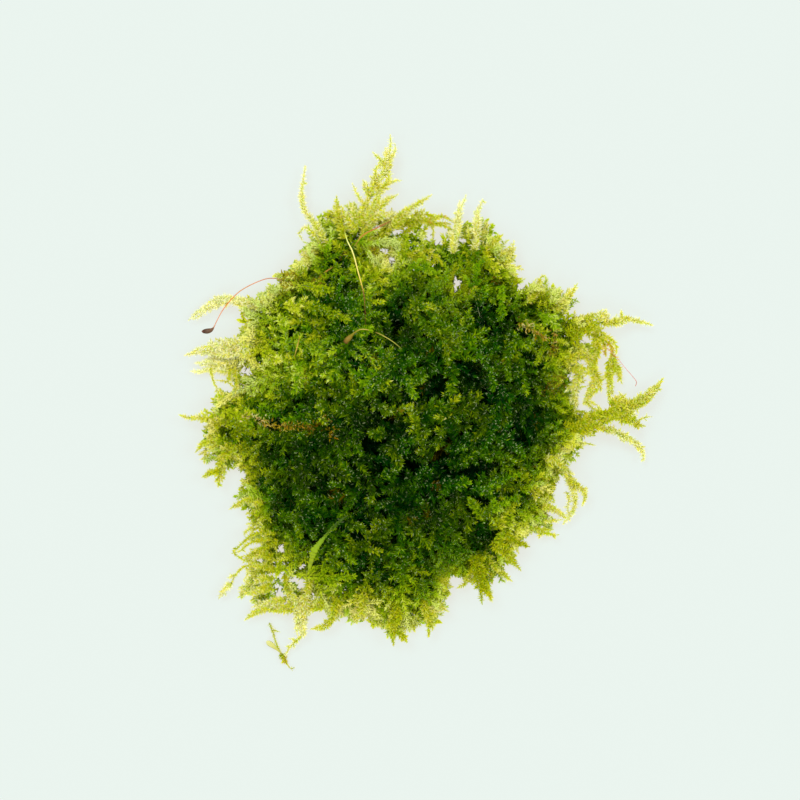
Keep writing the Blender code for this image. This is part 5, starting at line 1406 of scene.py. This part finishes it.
stalkPattern = {  # smooth waxy stalks: a soft sheen, broken by fine streaks
    "streaks": (14.0, 1.6),  # how short they are along the stalk, and how fine round it
    "value": {3: 0.78, 4: 1.22},
    "roughness": {3: 0.28, 4: 0.5},
    "bump": {"Strength": 0.3, "Distance": 0.00004},
    "wet": 0.15,
}


def heightsOn(node, places):  # the middle of a solid over each place, or else the top of the mat
    mesh = frame["nodes"][node].data
    tree = BVHTree.FromPolygons([v.co for v in mesh.vertices], [p.vertices for p in mesh.polygons])
    found, heights = [], []
    for number, (x, y) in enumerate(places):
        over = tree.ray_cast(Vector((x * mm, y * mm, 1.0)), Vector((0, 0, -1)))[0]
        below = tree.ray_cast(Vector((x * mm, y * mm, -1.0)), Vector((0, 0, 1)))[0]
        if over:
            found.append(number)
            heights.append((over.z + below.z) / 2 / mm)
    if node == "moss_mat" or 2 * len(found) < len(places):
        x, y = np.array(places).T
        return readAt(matField["canopy"], x, y) + stalkShape["overMat"]
    return np.interp(np.arange(len(places)), found, heights)


def stalkMaterial(name, colours):
    short, fine = stalkPattern["streaks"]
    return newMaterial(name, [
        ("place", "UVMap", {"uv_map": "OFBake"}, {}),
        ("split", "SeparateXYZ", {}, {0: "place"}),
        ("ramp", "ValToRGB", {"stops": colours}, {0: ("split", "X")}),
        # streaks run along the stalk, and wrap round it without a seam
        ("turn", "Math", {"operation": "MULTIPLY", 1: 2 * math.pi}, {0: ("split", "Y")}),
        ("sine", "Math", {"operation": "SINE"}, {0: "turn"}),
        ("cosine", "Math", {"operation": "COSINE"}, {0: "turn"}),
        ("run", "Math", {"operation": "MULTIPLY", 1: short}, {0: ("split", "X")}),
        ("spot", "CombineXYZ", {}, {0: "sine", 1: "cosine", 2: "run"}),
        ("streaks", "TexNoise", {"Scale": fine, "Detail": 3.0}, {0: "spot"}),
        ("value", "MapRange", stalkPattern["value"], {0: "streaks"}),
        ("colour", "HueSaturation", {}, {"Value": "value", "Color": "ramp"}),
        ("roughness", "MapRange", stalkPattern["roughness"], {0: "streaks"}),
        ("bump", "Bump", stalkPattern["bump"], {"Height": "streaks"}),
        ("Principled BSDF", "BsdfPrincipled", {"Specular IOR Level": stalkPattern["wet"]},
         {"Base Color": "colour", "Roughness": "roughness", "Normal": "bump"}),
    ])


def layStalk(node, parts):
    route = np.array(parts["route"])
    route = np.insert(route, 2, heightsOn(node, route[:, :2]), axis=1)
    fine = smoothPath(route, stalkShape["step"])[0]
    fine = np.concatenate([fine, route[-1:]])
    part = np.linspace(0, 1, len(fine))
    atRoot, atEnd = parts["sunk"]
    nearRoot = np.clip(1 - part / stalkShape["rootPart"], 0, 1)
    nearEnd = np.clip(1 - (1 - part) / stalkShape["endPart"], 0, 1)
    fine[:, 2] -= atRoot * nearRoot + atEnd * nearEnd
    dip, deep = parts.get("dip", (0.0, 0.0))
    fine[:, 2] -= deep * np.exp(-((part - dip) / stalkShape["dipPart"]) ** 2) + parts.get("lower", 0.0)
    fine[:, 3] *= 1 + parts.get("ragged", 0.0) * chance.normal(0, 1, len(fine))
    bpy.ops.object.select_all(action="DESELECT")
    bpy.ops.curve.primitive_bezier_curve_add()
    piece = bpy.context.object
    piece.name = parts.get("name", pieceName(node))
    curve = piece.data
    curve.splines.clear()
    line = curve.splines.new("POLY")
    line.points.add(len(fine) - 1)
    line.points.foreach_set("co", np.concatenate([fine[:, :3] * mm, np.ones((len(fine), 1))], 1).ravel())
    line.points.foreach_set("radius", np.maximum(fine[:, 3], stalkShape["thinnest"]))
    curve.dimensions = "3D"
    curve.bevel_depth = mm
    curve.bevel_resolution = 3
    bpy.ops.object.convert(target="MESH")
    mesh = piece.data
    mesh.uv_layers[0].name = "OFBake"
    around = len(mesh.vertices) // len(fine)
    for point in mesh.vertices:  # a blade is the same form pressed flat
        middle = fine[point.index // around, 2] * mm
        point.co.z = max(middle + parts.get("flat", 1.0) * (point.co.z - middle), lowest * mm)
    bpy.ops.object.shade_smooth()
    mesh.materials.clear()
    mesh.materials.append(stalkMaterial(parts["finish"], parts["colours"]))
    settle(piece, node)


# Dead shoots that lie in the mat with their leaves still on, and the leafy edge of the blade: for
# each stem its leaf length, tone from root to tip, how far its leaves are scattered, and its places

lyingShoots = {
    "stem_dead_west": [
        (0.7, (0.88, 0.78), 0.5, [(-35.3, -2.6), (-32.5, -3.0), (-30.4, -3.8)]),
        (0.7, (0.64, 0.5), 0.4, [(-32, -3.6), (-29.5, -4.4), (-26, -4.7)]),
        (0.7, (0.52, 0.36), 0.4, [(-27, -4.4), (-24.5, -4.6), (-22, -4.4)]),
        (0.8, (0.3, 0.25), 0.5, [(-22.4, -6.6), (-22.0, -5.2), (-19.6, -4.0), (-18.2, -3.0)]),
        (0.8, (0.3, 0.5), 0.5, [(-18.4, -4.8), (-17.3, -6.2), (-16.4, -6.8)])],
    "stem_dead_east": [
        (0.85, (0.7, 0.6), 0.4, [(19.4, 16.2), (21.4, 15.2), (22.6, 14.0)]),
        (0.85, (0.6, 0.5), 0.4, [(22.9, 14.2), (24.2, 13.2), (25.0, 12.4)]),
        (0.8, (0.65, 0.5), 0.45, [(26.8, 14.8), (27.0, 12.6), (26.4, 10.2)])],
    "stem_dead_north": [(0.7, (0.45, 0.62), 0.2, [(8.9, 18.8), (9.6, 20.8), (10.8, 23.0)])],
    "blade_bare_green": [
        (0.65, (0.28, 0.5), 0.12, [(-5.9, -19.2), (-8.6, -19.6), (-11.5, -20.8), (-15.9, -23.2)]),
        (0.5, (0.4, 0.6), 0.15, [(-15.9, -23.2), (-18.9, -26.2)])],
}
lyingGrowth = {"pitch": 0.1, "slim": 0.4, "toneChance": 0.1, "lower": 0.3, "bladeLower": -0.5,
               "stemRadius": 0.08, "stemRing": 0.7, "stemTone": 0.4}


def layShoots(finishes, pattern):
    for node, stems in lyingShoots.items():
        parts = []
        leafy = node == "blade_bare_green"
        for leafSize, (first, last), scatter, places in stems:
            route = np.insert(np.array(places, float), 2, heightsOn(node, places), axis=1)
            path, long = smoothPath(route)
            path[:, 2] -= lyingGrowth["bladeLower" if leafy else "lower"]
            paths, length = stacked([path]), np.array([long])
            leaves = leavesOn(
                paths, length, lyingGrowth["pitch"], np.array([leafSize]), lyingGrowth["slim"])
            pointing = leaves["pointing"] + chance.normal(0, scatter, leaves["pointing"].shape)
            leaves["pointing"] = unit(pointing)
            leaves["base"] += chance.normal(0, scatter, leaves["base"].shape)
            tones = first + (last - first) * leaves["part"]
            tones = tones + chance.normal(0, lyingGrowth["toneChance"], len(tones))
            kinds = chance.integers(0, chart["greens"] if leafy else chart["stemRow"], len(tones))
            every = np.ones(len(tones), bool)
            parts.append(leafMesh(leaves, every, np.clip(tones, 0, topTone), kinds, pattern))
            parts.append(stemMesh(paths, length, every[:1], np.array([lyingGrowth["stemRadius"]]),
                                  lyingGrowth["stemRing"], np.array([lyingGrowth["stemTone"]])))
        name = "bladeEdge" if leafy else pieceName(node)
        settle(makePiece(name, parts, finishes[leafy]), node)


setStudio()
readMat()
plainLeaf = modelLeaf("plainLeaf", False)
foldedLeaf = modelLeaf("foldedLeaf", True)
wetLeaves = leafMaterial("wet feather moss leaves", matLeaf)
growMat(wetLeaves, plainLeaf)
growFree(leafMaterial("young feather moss leaves", freeLeaf), foldedLeaf)
layShoots([leafMaterial("dead feather moss leaves", deadLeaf), wetLeaves], foldedLeaf)
for node, parts in stalks.items():
    layStalk(node, parts)
print("stalks and dead shoots laid")

bpy.context.view_layer.update()
